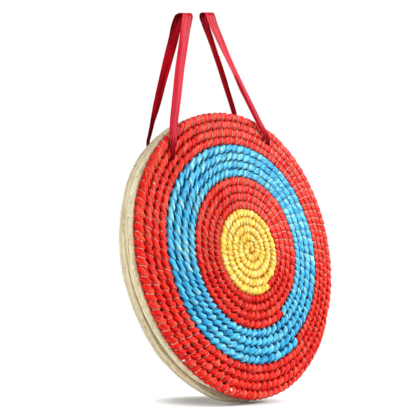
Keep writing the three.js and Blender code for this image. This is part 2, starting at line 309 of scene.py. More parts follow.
def soft_lamp(name, direction, distance, size, level):
    """A square lamp that looks at the middle of the face, from this far away."""
    data = bpy.data.lights.new(name, "AREA")
    data.shape = "SQUARE"
    data.size = size
    data.energy = level * (math.pi * distance) ** 2
    lamp = bpy.data.objects.new(name, data)
    direction = Vector(direction).normalized()
    lamp.location = DISC_CENTRE + direction * distance
    lamp.rotation_mode = "QUATERNION"
    lamp.rotation_quaternion = (-direction).to_track_quat("-Z", "Y")
    bpy.context.scene.collection.objects.link(lamp)
    print(name, distance, "m away")


for name, (direction, distance, size, level) in LAMPS.items():
    soft_lamp(name, direction, distance, size, level)

# %% [markdown]
# ## How the front rope runs
# A coiled mat is one rope on a spiral: each turn lies one rope's width outside the last. A
# hand-made one isn't true. Its outer turns bulge where the rope was laid loosely, so the
# plain spiral is pushed outwards by an amount that depends on the angle and grows with the
# turns.

# %% Front spiral
FRONT_PITCH = 14.7
FRONT_TURNS = 17.15
FRONT_END_ANGLE = -48.0
FRONT_DEPTH = 16.0
# Each colour, and the turn at which it ends
YELLOW_END, RED_END, BLUE_END = 5.08, 9.08, 13.08
FRONT_COLOURS = (
    ("yellow", YELLOW_END), ("inner_red", RED_END), ("blue", BLUE_END), ("outer_red", FRONT_TURNS),
)
# The rim's own radius at some angles, counter-clockwise from the right, in millimetres
RIM_RADII = (
    (-45, 245.2), (-30, 244.0), (-15, 243.0), (0, 243.2), (20, 245.4), (45, 249.2), (90, 251),
    (104, 255), (117, 257), (134, 259.8), (150, 261.6), (170, 260.5), (195, 257.4),
    (215, 255.5), (240, 256.5), (261, 259.6), (276, 260.8), (290, 260.6), (302, 261.2),
)
# How fast the rim's bulges die away inwards
FULLNESS_POWER = 3.0
# Colour rings that aren't round: turns, spread in turns, angle, spread in degrees, rise
RING_SWELLS = (
    (4.2, 0.9, -45.0, 45.0, 4.0), (13.0, 2.0, -40.0, 60.0, 4.5), (13.0, 2.0, 138.0, 28.0, 4.0),
)
SPIRAL_SAMPLES = 40001


def angle_at(turns):
    """Degrees counter-clockwise from the right, seen from the front."""
    return FRONT_END_ANGLE + (turns - FRONT_TURNS) * 360.0


def gap_between(a, b):
    """How far apart two angles are, from -180 to 180."""
    return (a - b + 180.0) % 360.0 - 180.0


rim_angles, rim_radii = (np.array(x, float) for x in zip(*RIM_RADII))
plain_rim = FRONT_PITCH * (FRONT_TURNS + (rim_angles - FRONT_END_ANGLE - 360.0) / 360.0 + 0.5)
rim_rises = np.tile(rim_radii - plain_rim, 3)
rim_order = np.concatenate([rim_angles - 360, rim_angles, rim_angles + 360])


def front_radius(turns):
    """The rope's middle line, in millimetres from the boss's middle."""
    angle = angle_at(turns)
    rise = np.interp((angle - FRONT_END_ANGLE) % 360.0 + FRONT_END_ANGLE, rim_order, rim_rises)
    radius = FRONT_PITCH * turns + rise * (np.clip(turns, 0, None) / FRONT_TURNS) ** FULLNESS_POWER
    for at, spread, toward, width, height in RING_SWELLS:
        near = np.exp(-(((turns - at) / spread) ** 2) - (gap_between(angle, toward) / width) ** 2)
        radius = radius + height * near
    return radius


sample_turns = np.linspace(0.0, FRONT_TURNS, SPIRAL_SAMPLES)
sample_radii = front_radius(sample_turns)
middle_radii = (sample_radii[1:] + sample_radii[:-1]) / 2
steps_mm = np.hypot(np.diff(sample_radii), math.tau * np.diff(sample_turns) * middle_radii)
sample_length = np.concatenate([[0.0], np.cumsum(steps_mm)])
print("front rope:", round(sample_length[-1] / 1000, 2), "m long")

# %% [markdown]
# ## Where the threads cross
# The strip goes round the rope and the binding thread pulls it in every 6 to 19 mm, so the
# rope is a row of small pillows. On the right the rope was laid tight and the crossings of
# one colour's turns line up as spokes. Elsewhere each turn has a spacing of its own. Threads
# set out evenly would look like a machine's work, so each one strays a little. All of that
# is worked out once here, as a table of how many threads have been passed at each turn.

# %% Pillow spacing
SEED = 7
# A yellow pillow's length at some turns, in millimetres
YELLOW_TURNS, YELLOW_LENGTHS = (0.0, 5.0), (6.0, 10.0)
# From a turn on: pillows in a whole turn as counted on the right, and pillows in that turn.
# The small extra part moves each turn's threads on by a fifth of a pillow, so that on the
# right they go on from the last turn's as one line. Elsewhere each turn has its own spacing.
TURN_COUNTS = (
    (YELLOW_END, 44.0, 52.2), (RED_END, 64.0, 67.2), (BLUE_END, 97.0, 91.2),
    (14.15, 97.0, 93.2), (15.15, 97.0, 98.2), (16.15, 97.0, 108.2),
)
# Sideways waves of these lines: how many in a turn, and how many pillows
LINE_WAVES = ((3, 0.2), (7, 0.14), (13, 0.08))
# The turns at which the waves start and are full
WAVES_START, WAVES_FULL = 4.5, 5.0
# How unevenly the threads lie, in pillows: in the yellow, further out, and at the most
YELLOW_STRAY, STRAY, MOST_STRAY = 0.16, 0.07, 0.3
# How much the pillows differ in fullness, and at the most
PUFF, MOST_PUFF = 0.03, 0.06
# The slant reaches past both ends, so there are a few more pillows than are counted
SPARE_PILLOWS, SPARE_BEFORE = 12, 4
CRUMPLE_TABLE = (997, 13)

rng = np.random.default_rng(SEED)
turn_count = math.tau * sample_radii / np.interp(sample_turns, YELLOW_TURNS, YELLOW_LENGTHS)
from_right = 1 - np.cos(np.radians(angle_at(sample_turns)))
for begins, on_right, in_turn in TURN_COUNTS:
    here = on_right + (in_turn - on_right) * from_right
    turn_count = np.where(sample_turns > begins, here, turn_count)
pillow_length = math.tau * np.maximum(sample_radii, 1.0) / np.maximum(turn_count, 1.0)
even_count = np.concatenate([[0.0], np.cumsum(turn_count[1:] * np.diff(sample_turns))])
waves_grow = np.clip((sample_turns - WAVES_START) / (WAVES_FULL - WAVES_START), 0, 1)
for waves_round, size in LINE_WAVES:
    line_wave = size * np.sin(waves_round * np.radians(angle_at(sample_turns)) + waves_round)
    even_count = even_count + line_wave * waves_grow
pillow_total = int(even_count[-1]) + SPARE_PILLOWS
yellow_pillows = np.interp(YELLOW_END, sample_turns, even_count)
uneven = np.where(np.arange(pillow_total) < yellow_pillows, YELLOW_STRAY, STRAY)
stray = np.clip(rng.normal(0.0, 1.0, pillow_total) * uneven, -MOST_STRAY, MOST_STRAY)
sample_count = even_count + np.interp(even_count, np.arange(pillow_total), stray)
sample_count = np.maximum.accumulate(sample_count)
pillow_puff = np.clip(rng.normal(1.0, PUFF, pillow_total), 1 - MOST_PUFF, 1 + MOST_PUFF)
pillow_tone = rng.random(pillow_total)
crumple_table = rng.normal(0.0, 1.0, CRUMPLE_TABLE)
print("pillows:", int(even_count[-1]), "of", round(pillow_length[sample_turns > 1].min(), 1), "to",
      round(pillow_length.max(), 1), "mm")

# %% [markdown]
# ## Slant and crumple
# A thread doesn't cross the rope square on. It slants, most on the left and at the top, and
# there the pillows between the threads are long leaves. The strip between the threads is
# crumpled, which a table of random numbers, eased from one to the next, gives in real shape.

# %% Slant and crumple
SLANT = 0.27
# Where they slant more: the turns between, the angle, its spread in degrees, the extra slant
SLANTS = (
    (3.0, BLUE_END, 172.0, 40.0, 0.26), (BLUE_END, 16.15, 158.0, 38.0, 0.18),
    (16.15, 17.2, 128.0, 18.0, 0.35), (3.0, 16.15, 100.0, 26.0, 0.2),
)
# In the middle they slant less: the least share, and the turns over which it grows to full
SLANT_LEAST, SLANT_FROM, SLANT_FULL = 0.25, 3.0, 7.0


def slant_at(turns):
    """How far a thread moves along the rope, as a share of how far it moves across."""
    extra = 0 * turns
    for first, last, toward, spread, size in SLANTS:
        there = (turns > first) & (turns <= last)
        extra = extra + there * size * fades(gap_between(angle_at(turns), toward), spread)
    grown = np.clip((turns - SLANT_FROM) / (SLANT_FULL - SLANT_FROM), SLANT_LEAST, 1)
    return (SLANT + extra) * grown


def crumple(x, y):
    """Smooth random bumps: a table's numbers at whole places, eased in between."""
    i, j = np.floor(x).astype(int), np.floor(y).astype(int)
    p, q = x - i, y - j
    p, q = p * p * (3 - 2 * p), q * q * (3 - 2 * q)
    rows, columns = crumple_table.shape

    def along_row(j):
        near = crumple_table[i % rows, j % columns]
        return near * (1 - p) + crumple_table[(i + 1) % rows, j % columns] * p

    return along_row(j) * (1 - q) + along_row(j + 1) * q


print("slant at the left of the blue:", round(float(slant_at(np.array(11.76))), 2))

# %% [markdown]
# ## Shape of the wrapped rope
# A smooth tube with painted threads would have a straight outline and no shadows of its own,
# so the pillows are real shape. Each point of the tube is drawn in near its nearest thread.
# Each pillow is fuller outwards at its near end and inwards at its far end, like a leaf. The
# points keep numbers for the colour: how near the thread is, how deep in the groove they lie,
# for the painted shade there, how far along the pillow they are, and a tone of the pillow's own.

# %% Section of the rope
SIDES_FRONT = 13
SIDES_BACK = 5
# The closely set points of the front reach this far round behind the sides, in degrees
PAST_SIDES = 12

front_angles = np.linspace(
    math.radians(-PAST_SIDES), math.radians(180 + PAST_SIDES), SIDES_FRONT)
back_angles = np.linspace(
    math.radians(180 + PAST_SIDES), math.radians(360 - PAST_SIDES), SIDES_BACK + 2)[1:-1]
section_angles = np.concatenate([front_angles, back_angles])


def rounded(x, power):
    """A cosine or sine pushed out towards a rounded square."""
    return np.sign(x) * np.abs(x) ** (2.0 / power)


def front_width(turns):
    """The room between the turn inside and the turn outside."""
    inner = np.where(turns > 1, front_radius(np.maximum(turns - 1, 0.0)), 0.0)
    inner = np.where(turns > 1, inner, front_radius(turns) - FRONT_PITCH)
    return (front_radius(turns + 1) - inner) / 2


print("points round the rope:", len(section_angles))

# %% Ends of a rope
# The last part of a turn is tucked in: how long it is, and how much narrower it gets
TUCK_TURNS, TUCK_NARROWER = 0.18, 0.75
# A rope begins thinner: its first share in width and in depth, and the turns that the depth
# takes to grow
START_WIDTH, START_DEPTH, DEPTH_GROWS = 0.75, 0.85, 0.3
TIP_RINGS = 5
# The outermost ring of a tip is this far round its bend, in degrees
TIP_BEND = 80


def tucked(turns, last):
    """0 along a rope, growing to 1 over the tucked-in part of its last turn."""
    return np.clip(1 - (last - turns) / TUCK_TURNS, 0, 1)


def rounded_tip(points, numbers, reach):
    """A rope's first ring carried on backwards into a round tip. reach is in metres."""
    middle = points[0].mean(0)
    back = middle - points[1].mean(0)
    back /= np.linalg.norm(back)
    bends = np.radians(np.linspace(TIP_BEND, 0, TIP_RINGS, endpoint=False))[:, None, None]
    tip = middle + (points[0] - middle) * np.cos(bends) + back * reach * np.sin(bends)
    longer = {}
    for key, values in numbers.items():
        longer[key] = np.concatenate([np.repeat(values[:1], TIP_RINGS, 0), values])
    return np.concatenate([tip, points]), longer


print("tucked in over", TUCK_TURNS * 360, "degrees")

# %% Pillowed surface
# The strip's numbers along the rope are laid out as for pillows of this length
LONG_PILLOW = 14.8
ROUNDNESS = 2.15
CREASE_DEPTH, CREASE_HALF = 0.15, 1.2
DOME, TILT, LEAF = 0.12, 0.1, 0.15
CRUMPLE, YELLOW_CRUMPLE = 0.06, 0.11
# The strip's wrinkles run more along the rope than the threads do
WRINKLE_SLANT = 1.1
RIDGE_WIDE, RIDGE_LONG = 2.8, 7.0
# The yellow's pillows are flatter than the rest, squarer, and have less painted shade in the groove
CALM_CENTRE, CALM_SQUARER, CALM_PALER = 0.62, 0.8, 0.1
# The rope was laid tighter on the right, so its pillows are flatter: angle, spread, share
TIGHT_ANGLE, TIGHT_SPREAD, TIGHT_SHARE = 26.0, 56.0, 0.75
# There the rope is also squarer, and has less painted shade in its groove
TIGHT_SQUARER, TIGHT_PALER = 2.6, 0.5
# The turns that the front rope's width takes to grow, and how much shallower its tuck gets
FRONT_GROWS, FRONT_SHALLOWER = 0.45, 0.5
# The threads slant this far round from the crown, in radians, and no further
SLANT_ROUND = 2.2
# The hidden back is plain: the pillows' shape grows between these heights on the section
SHAPE_FROM, SHAPE_FULL = -0.75, -0.25
# The height on the section at which the groove's painted shade ends, how far the free side of
# the outermost turn is raised out of it, and how far the full end of a leaf is
GROOVE_END, RIM_RAISED, LEAF_RAISED = 0.93, 0.6, 0.5


def wrapped_surface(turns, around):
    """Points of the pillowed rope at turns and at angles round its section, and its numbers."""
    width = front_width(turns)
    tuck = tucked(turns, FRONT_TURNS)
    half = width / 2 * (1 - TUCK_NARROWER * tuck) * np.clip(turns / FRONT_GROWS, START_WIDTH, 1)
    middle = front_radius(turns) - width / 2 * TUCK_NARROWER * tuck
    half_depth = FRONT_DEPTH / 2 * (1 - FRONT_SHALLOWER * tuck)
    half_depth = half_depth * np.clip(turns / DEPTH_GROWS, START_DEPTH, 1)
    count = np.interp(turns, sample_turns, sample_count)
    spacing = np.interp(turns, sample_turns, pillow_length)
    from_crown = (around + math.pi) % math.tau - math.pi - math.pi / 2
    shift = slant_at(turns) * half * np.clip(from_crown, -SLANT_ROUND, SLANT_ROUND)
    place = count - shift / spacing
    index = np.floor(place)
    part = place - index
    pillow = np.clip(index.astype(int) + SPARE_BEFORE, 0, pillow_total - 1)
    facing = np.clip((np.sin(around) - SHAPE_FROM) / (SHAPE_FULL - SHAPE_FROM), 0, 1)
    crease = fades(np.minimum(part, 1 - part) * spacing, CREASE_HALF) * facing
    leaf = np.cos(around) * np.sin(math.tau * part) * facing
    yellow = turns < YELLOW_END
    tight = fades(gap_between(angle_at(turns), TIGHT_ANGLE), TIGHT_SPREAD) * (turns > YELLOW_END)
    shape = DOME / 2 - DOME * (2 * part - 1) ** 2 + TILT * (part - 0.5)
    shape = shape - CREASE_DEPTH * crease + LEAF * leaf
    shape = shape * np.where(yellow, CALM_CENTRE, 1) * (1 - TIGHT_SHARE * tight)
    girth = around * FRONT_PITCH / 2
    lay = place * LONG_PILLOW - WRINKLE_SLANT * girth
    crumpled = np.where(yellow, YELLOW_CRUMPLE, CRUMPLE) * crumple(
        lay / RIDGE_WIDE, girth / RIDGE_LONG)
    size = pillow_puff[pillow] + shape + facing * crumpled
    roundness = ROUNDNESS + TIGHT_SQUARER * tight + CALM_SQUARER * yellow
    paler = 1 - TIGHT_PALER * tight - CALM_PALER * yellow
    across = half * rounded(np.cos(around), roundness) * size
    out = half_depth * rounded(np.sin(around), roundness) * size
    # The groove number is painted shade: it grows from the crown down into the groove, is less on the
    # outermost turn's free side, and changes with the leaf's shape.
    free_side = (turns > FRONT_TURNS - 1) & (np.cos(around) > 0)
    sunk = 1 - (np.sin(around) + RIM_RAISED * free_side) / GROOVE_END - LEAF_RAISED * leaf
    numbers = {
        "crease": crease, "groove": np.clip(sunk, 0, 1) * paler, "part": part,
        "tone": pillow_tone[pillow], "lay": lay * MM, "girth": girth * MM,
    }
    angle = np.radians(angle_at(turns))
    return ring_points(middle + across, angle, FRONT_DEPTH / 2 - out), numbers


crown = wrapped_surface(np.array([10.0]), np.array([math.pi / 2]))[0][0]
print("crown of the rope at turn 10:", crown.round(4))

# %% Four lengths of rope
STEP_MM = 1.25
FRONT_START = 0.1
FRONT_TIP = 6.0


def wrapped_rope(colour, start, end):
    """One colour's length of rope."""
    length = np.interp([start, end], sample_turns, sample_length)
    rings = int((length[1] - length[0]) / STEP_MM) + 2
    turns = np.interp(np.linspace(length[0], length[1], rings), sample_length, sample_turns)
    turns, around = np.meshgrid(turns, section_angles, indexing="ij")
    points, numbers = wrapped_surface(turns, around)
    if start == FRONT_START:
        points, numbers = rounded_tip(points, numbers, FRONT_TIP * MM)
    rope = lay_grid(f"{colour}_wrapped_rope", points, closed_v=True, caps=True, attributes=numbers)
    print(rope.name, len(rope.data.vertices), "points")
    return rope


ropes = {}
start = FRONT_START
for colour, end in FRONT_COLOURS:
    ropes[colour] = wrapped_rope(colour, start, end)
    start = end

# %% [markdown]
# ## Finish of the wrap
# The strip is a crinkled, slightly glossy film. Its wrinkles slant across the rope. Its colour
# goes between a dark, a plain and a light shade with the wrinkles, with patches, with each
# pillow's own tone and along each pillow. Since the wrinkles also make its bump, that light and
# dark is partly painted highlight and shade. A fourth shade is painted shade: it darkens the
# creases at the threads, the groove and some folds, which show as thin dark lines, and it is
# darkest where thread and groove meet.

# %% Wrap materials
# How strongly the painted groove shade darkens, and four shades: the painted shade of groove,
# creases and folds, dark, plain, and light, which is partly a painted highlight
WRAP_COLOURS = {
    "yellow": (
        0.85, paint(255, 150, 14), paint(252, 190, 44), paint(255, 240, 104), paint(255, 254, 184)),
    "red": (0.9, paint(146, 0, 0), paint(172, 0, 0), paint(252, 34, 25), paint(255, 98, 68)),
    "blue": (1.2, paint(0, 24, 84), paint(0, 88, 168), paint(70, 202, 252), paint(172, 250, 255)),
}
WRAP_ROUGHNESS, WRAP_GLOSS = (0.25, 0.5), 0.08
WRAP_BUMP = (0.8, 0.0018)
# The strip's creases are narrow dark lines of painted shade, as well as a bump, where the fold
# noise is within this of 0.5
FOLD_HALF = 0.045
# How much of the way to the painted shade the darkest point goes
DEEPEST = 0.96


def wrap_finish(name, groove_gain, painted_groove_shade, dark, plain, light):
    """The strip's material, from how strongly its painted groove shade darkens and its four shades.
    """
    material, shader, add = finish_nodes(name)
    place = rope_place(add)
    wrinkles = noise(add, place, (330.0, 90.0, 3.0), detail=3.0)
    patches = noise(add, place, (120.0, 90.0, 3.0))
    folds = noise(add, place, (210.0, 60.0, 3.0))
    off_fold = worked_out(add, "ABSOLUTE", weighed(add, -0.5, (folds, 1.0)))
    fold = carried(add, off_fold, 0.0, FOLD_HALF, 1.0, 0.0)
    # The shades follow the same wrinkles as the bump and lighten along each pillow: their light and
    # dark are partly painted highlight and shade.
    level = weighed(
        add, -0.16, (wrinkles, 0.78), (patches, 0.24), (attribute(add, "tone"), 0.14),
        (attribute(add, "part"), 0.16))
    colour = ramp(add, level, [(0.3, dark), (0.43, plain), (0.52, plain), (0.64, light)])
    # Painted shade: the creases, the groove, the notch where they meet and the fold lines pull the
    # colour towards the painted groove shade.
    crease, groove = attribute(add, "crease"), attribute(add, "groove")
    notch = worked_out(add, "MULTIPLY", crease, groove)
    depth = weighed(add, 0.0, (crease, 0.5), (groove, groove_gain), (notch, 1.0), (fold, 0.42))
    depth = worked_out(add, "MINIMUM", depth, DEEPEST)
    colour = blend_colours(add, "MIX", depth, colour, painted_groove_shade)
    crumpled = weighed(add, 0.0, (wrinkles, 1.0), (fold, -0.4))
    gloss = uneven_gloss(add, patches, *WRAP_ROUGHNESS)
    finish_surface(shader, add, colour, gloss, crumpled, *WRAP_BUMP)
    shader.inputs["Specular IOR Level"].default_value = WRAP_GLOSS
    return material


wraps = {name: wrap_finish(f"{name}_strip", *shades) for name, shades in WRAP_COLOURS.items()}
print("strips:", list(wraps))

# %% Ropes handed over
FRONT_PIECES = (
    ("yellow", "yellow", "yellow_centre_coil", "yellow_wrap"),
    ("inner_red", "red", "inner_red_coil", "red_wrap"),
    ("blue", "blue", "blue_coil", "blue_wrap"),
    ("outer_red", "red", "outer_red_coil", "red_wrap"),
)
for colour, wrap, node, slot in FRONT_PIECES:
    ropes[colour].data.materials.append(wraps[wrap])
    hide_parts(node)
    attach(ropes[colour], "boss")

for rope in ropes.values():
    print(rope.name, "wears", rope.data.materials[0].name)

# %% [markdown]
# ## Binding thread
# One thin pale thread crosses the rope at every crease and goes down between the turns to
# catch the turn inside. One long curve could follow all of it, but the part inside the mat
# can't be seen. So each crossing is a short thin tube that lies on the drawn-in rope.

# %% Short tubes of thread
THREAD_SIDES = 5
# How far a thread's middle stands off the surface, as a share of its radius
THREAD_LIFT = 0.9


def outward_from(angle, around):
    """The way out of a ring at an angle, and at an angle round its section towards the back."""
    return np.stack([
        np.cos(angle) * np.cos(around), np.sin(around), np.sin(angle) * np.cos(around)], -1)


def lay_threads(name, line, outward, radius):
    """Many short tubes as one mesh, along line[crossing, ring] with outward as their up."""
    ahead = np.gradient(line, axis=1)
    ahead /= np.linalg.norm(ahead, axis=2, keepdims=True)
    side = np.cross(ahead, outward)
    side /= np.linalg.norm(side, axis=2, keepdims=True)
    lift = np.cross(side, ahead)
    spin = np.linspace(0, math.tau, THREAD_SIDES, endpoint=False)[None, None, :, None]
    tube = line[:, :, None, :] + radius * MM * (
        np.cos(spin) * side[:, :, None, :] + (np.sin(spin) + THREAD_LIFT) * lift[:, :, None, :])
    count, rings = line.shape[:2]
    base = np.arange(rings * THREAD_SIDES).reshape(rings, THREAD_SIDES)
    near, far = base[:-1], base[1:]
    quads = np.stack([near, np.roll(near, -1, 1), np.roll(far, -1, 1), far], -1).reshape(-1, 4)
    quads = (quads[None] + (np.arange(count) * base.size)[:, None, None]).reshape(-1, 4)
    print(name, count, "crossings")
    return new_thing(name, tube.reshape(-1, 3).tolist(), quads.tolist())


# %% Binding thread
THREAD_RADII = {"yellow": 0.26, "inner_red": 0.48, "blue": 0.4, "outer_red": 0.52}
THREAD_RINGS = 11
THREAD_FROM, THREAD_TO = math.radians(2), math.radians(178)
# The first crossing's turn, and how near to a change of colour a thread comes, in pillows
THREAD_START = 0.4
CHANGE_CLEAR = 0.6


def binding_thread(colour, start, end):
    """All the crossings on one colour's length."""
    first, last = np.interp([start, end], sample_turns, sample_count)
    crossings = np.arange(math.ceil(first + CHANGE_CLEAR), math.floor(last - CHANGE_CLEAR) + 1)
    around = np.linspace(THREAD_FROM, THREAD_TO, THREAD_RINGS)
    at = np.interp(crossings, sample_count, sample_turns)
    spacing = np.interp(at, sample_turns, pillow_length)
    slope = slant_at(at) * front_width(at) / 2 / spacing
    shift = slope[:, None] * (around[None, :] - math.pi / 2)
    turns = np.interp(crossings[:, None] + shift, sample_count, sample_turns)
    around = np.broadcast_to(around, turns.shape)
    line = wrapped_surface(turns, around)[0]
    outward = outward_from(np.radians(angle_at(turns)), -around)
    return lay_threads(f"{colour}_binding_thread", line, outward, THREAD_RADII[colour])


# %% Thread materials
THREAD_ROUGHNESS = (0.7, 0.9)
THREAD_BUMP = (0.5, 0.0004)
# Two shades for each colour's thread: pale, deep
THREAD_COLOURS = {
    "yellow": (paint(252, 222, 110), paint(240, 176, 60)),
    "inner_red": (paint(244, 210, 192), paint(212, 146, 126)),
    "blue": (paint(176, 214, 228), paint(84, 130, 158)),
    "outer_red": (paint(244, 214, 198), paint(212, 150, 130)),
}


def thread_finish(name, pale, deep):
    """Dull thread that has picked up some of the wrap's colour."""
    material, shader, add = finish_nodes(name)
    place = add("ShaderNodeTexCoord").outputs["Object"]
    speckle = noise(add, place, (420.0, 420.0, 420.0))
    colour = ramp(add, speckle, [(0.35, deep), (0.6, pale)])
    gloss = uneven_gloss(add, speckle, *THREAD_ROUGHNESS)
    finish_surface(shader, add, colour, gloss, speckle, *THREAD_BUMP)
    return material


start = THREAD_START
for colour, end in FRONT_COLOURS:
    thread = binding_thread(colour, start, end)
    thread.data.materials.append(thread_finish(f"{colour}_thread", *THREAD_COLOURS[colour]))
    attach(thread, "boss")
    start = end

# %% [markdown]
# ## Thread knots
# Where a length of thread ran out, the next one was tied on. Three of these small pale knots
# show on the outer red turns. Each is a short lumpy bead, twisted like wound thread.

# %% Thread knots
# The turn and the angle round the rope's section, in degrees
KNOT_PLACES = ((15.673, 66.0), (16.864, 24.0), (16.934, 88.0))
KNOT_LONG, KNOT_THICK = 2.9, 1.3
KNOT_ROWS, KNOT_COLUMNS = 14, 12
# How far its end rings are from its poles, in radians, and how far it stands off the rope
KNOT_POLE, KNOT_LIFT = 0.08, 0.6
# Its lumps: how high, how many round it, and how much they twist from end to end
LUMP_SIZE, LUMPS_ROUND, LUMP_TWIST = 0.16, 2, 5


def thread_knot(name, turns, around):
    """A knot on the rope, its long way across the rope."""
    around = np.radians(np.array([[around, around + 1.0]]))
    place, ahead = wrapped_surface(np.full((1, 2), turns), around)[0][0]
    across = (place - ahead) / np.linalg.norm(place - ahead)
    out = np.array([0.0, -1.0, 0.0])
    out -= across * out.dot(across)
    out /= np.linalg.norm(out)
    side = np.cross(across, out)
    down = np.linspace(KNOT_POLE, math.pi - KNOT_POLE, KNOT_ROWS)[:, None, None]
    spin = np.linspace(0, math.tau, KNOT_COLUMNS, endpoint=False)[None, :, None]
    thick = KNOT_THICK * np.sin(down)
    thick = thick * (1 + LUMP_SIZE * np.cos(LUMPS_ROUND * spin + LUMP_TWIST * down))
    bead = across * KNOT_LONG * np.cos(down) + (side * np.cos(spin) + out * np.sin(spin)) * thick
    points = place + (bead + out * KNOT_THICK * KNOT_LIFT) * MM
    return lay_grid(name, points, closed_v=True, caps=True)


knot_thread = thread_finish("knot_thread", paint(255, 250, 240), paint(236, 206, 190))
for number, (turns, around) in enumerate(KNOT_PLACES, 1):
    knot = thread_knot(f"thread_knot_{number}", turns, around)
    knot.data.materials.append(knot_thread)
    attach(knot, "boss")
    print(knot.name, [round(x, 3) for x in knot.data.vertices[0].co])

# %% [markdown]
# ## The middle mat
# Only its rim shows, a rounded band of straw laid lengthwise. It could be a coil like the
# others, but nothing shows its turns. So it is one disc with a rounded edge, a little off
# centre, and its edge is uneven with fine ridges along it.

# %% Uneven straw
# The waves of a rim's wobble, counted once round
WOBBLES = (2, 3, 5, 7, 11, 17, 29, 41)
RIDGE_WAVES = 16
# The distance between ridges, in millimetres, and how often they drift in a round: at least
# the first number, and less than the second
RIDGE_PITCHES, RIDGE_DRIFTS = (1.8, 6.0), (2, 14)
# How far they drift, in radians of their own wave
RIDGE_DRIFT_SIZE = 2.0


def wander(angle, seed, size):
    """A smooth closed wobble round the rim."""
    waves = np.random.default_rng(seed)
    total = 0 * angle
    for order in WOBBLES:
        height = waves.normal() / order**0.5
        total = total + height * np.cos(order * angle + waves.random() * math.tau)
    return total * size


def ridges(angle, across, seed, size):
    """Fine ridges that run along the straw and drift a little across it."""
    waves = np.random.default_rng(seed)
    total = 0 * angle
    for _ in range(RIDGE_WAVES):
        pitch = waves.uniform(*RIDGE_PITCHES)
        reach = waves.normal(0.0, RIDGE_DRIFT_SIZE)
        drift = reach * np.cos(waves.integers(*RIDGE_DRIFTS) * angle + waves.random() * math.tau)
        total = total + np.cos(math.tau * across / pitch + drift + waves.random() * math.tau)
    return total * size / RIDGE_WAVES**0.5


print("wobble at 0 degrees:", round(float(wander(np.array(0.0), 3, 0.5)), 2), "mm")

# %% Rim of the middle mat
MIDDLE_RADIUS = 251.0
MIDDLE_SHIFT = (-8.0, 8.0)
MIDDLE_FRONT, MIDDLE_BACK = 16.3, 34.7
MIDDLE_ROUNDNESS = 1.9
# The middle mat is flatter near the top, where it would stand above the front one
MIDDLE_SINK, MIDDLE_SINK_ANGLE, MIDDLE_SINK_SPREAD = 5.5, 95.0, 30.0
# and it is fuller at the lower left
MIDDLE_SWELL, MIDDLE_SWELL_ANGLE, MIDDLE_SWELL_SPREAD = 2.6, 228.0, 26.0
# Wobble and ridges: the seed of their random numbers, and their height in millimetres
MIDDLE_WOBBLE, MIDDLE_RIDGES = (3, 0.5), (5, 0.6)


def middle_rise(turn):
    """How far the middle mat's rim stands out of its plain circle, in millimetres."""
    degrees = np.degrees(turn)
    sunk = fades(gap_between(degrees, MIDDLE_SINK_ANGLE), MIDDLE_SINK_SPREAD)
    swollen = fades(gap_between(degrees, MIDDLE_SWELL_ANGLE), MIDDLE_SWELL_SPREAD)
    return wander(turn, *MIDDLE_WOBBLE) - MIDDLE_SINK * sunk + MIDDLE_SWELL * swollen


middle_half = (MIDDLE_BACK - MIDDLE_FRONT) / 2


def middle_surface(turn, bend, rise):
    """Points of the rim, where bend is the angle from its crown, raised by rise."""
    radius = MIDDLE_RADIUS - middle_half + middle_half * rounded(np.cos(bend), MIDDLE_ROUNDNESS)
    level = (MIDDLE_FRONT + MIDDLE_BACK) / 2
    level = level + middle_half * rounded(np.sin(bend), MIDDLE_ROUNDNESS)
    return ring_points(radius + rise, turn, level, MIDDLE_SHIFT)


print("rise at the top:", round(float(middle_rise(np.array(math.pi / 2))), 2), "mm")

# %% Middle mat
MIDDLE_STITCHES = 44
# How far a stitch draws the rim in, and how far along the rim it does so
MIDDLE_PINCH, MIDDLE_PINCH_SPREAD = 0.8, 3.0
# The shade under a stitch, and how far along the rope it reaches
STITCH_SHADE, STITCH_SHADE_SPREAD = 0.25, 1.4
# The height on the section below which a straw rim is in shade
SHADE_HEIGHT = 0.7
RIM_COLUMNS = 1500
RIM_ROWS = 40
# Which stretch of the ridges lies on the crown, in millimetres from their start
RIDGE_SHIFT = 20


def from_stitch(place, spacing):
    """How far a place along the straw is from the nearest stitch."""
    return np.abs((place / spacing + 0.5) % 1 - 0.5) * spacing


turn = np.linspace(0, math.tau, RIM_COLUMNS, endpoint=False)
bend = np.linspace(-math.pi / 2, math.pi / 2, RIM_ROWS)
bend, turn = np.meshgrid(bend, turn, indexing="ij")
girth = bend * middle_half
stitch_away = from_stitch(turn * MIDDLE_RADIUS, MIDDLE_RADIUS * math.tau / MIDDLE_STITCHES)
rough = middle_rise(turn) + ridges(turn, girth + RIDGE_SHIFT, *MIDDLE_RIDGES) * np.cos(bend) ** 0.5
rough = rough - MIDDLE_PINCH * fades(stitch_away, MIDDLE_PINCH_SPREAD)
# The groove number is painted shade, on the rim's flanks and under each stitch.
middle_mat = lay_grid(
    "middle_mat", middle_surface(turn, bend, rough), closed_v=True, caps=True,
    attributes={
        "lay": turn * MIDDLE_RADIUS * MM, "girth": girth * MM, "tone": 0.5 + 0 * turn,
        "groove": np.maximum(
            np.clip(1 - np.cos(bend) / SHADE_HEIGHT, 0, 1),
            STITCH_SHADE * fades(stitch_away, STITCH_SHADE_SPREAD)),
    },
)
print(middle_mat.name, len(middle_mat.data.vertices), "points")

# %% Middle stitches
MAT_THREAD_RADIUS = 0.6
# How far round the rim's section a stitch reaches, in degrees, and its rings
MIDDLE_STITCH_REACH, MIDDLE_STITCH_RINGS = 75, 11

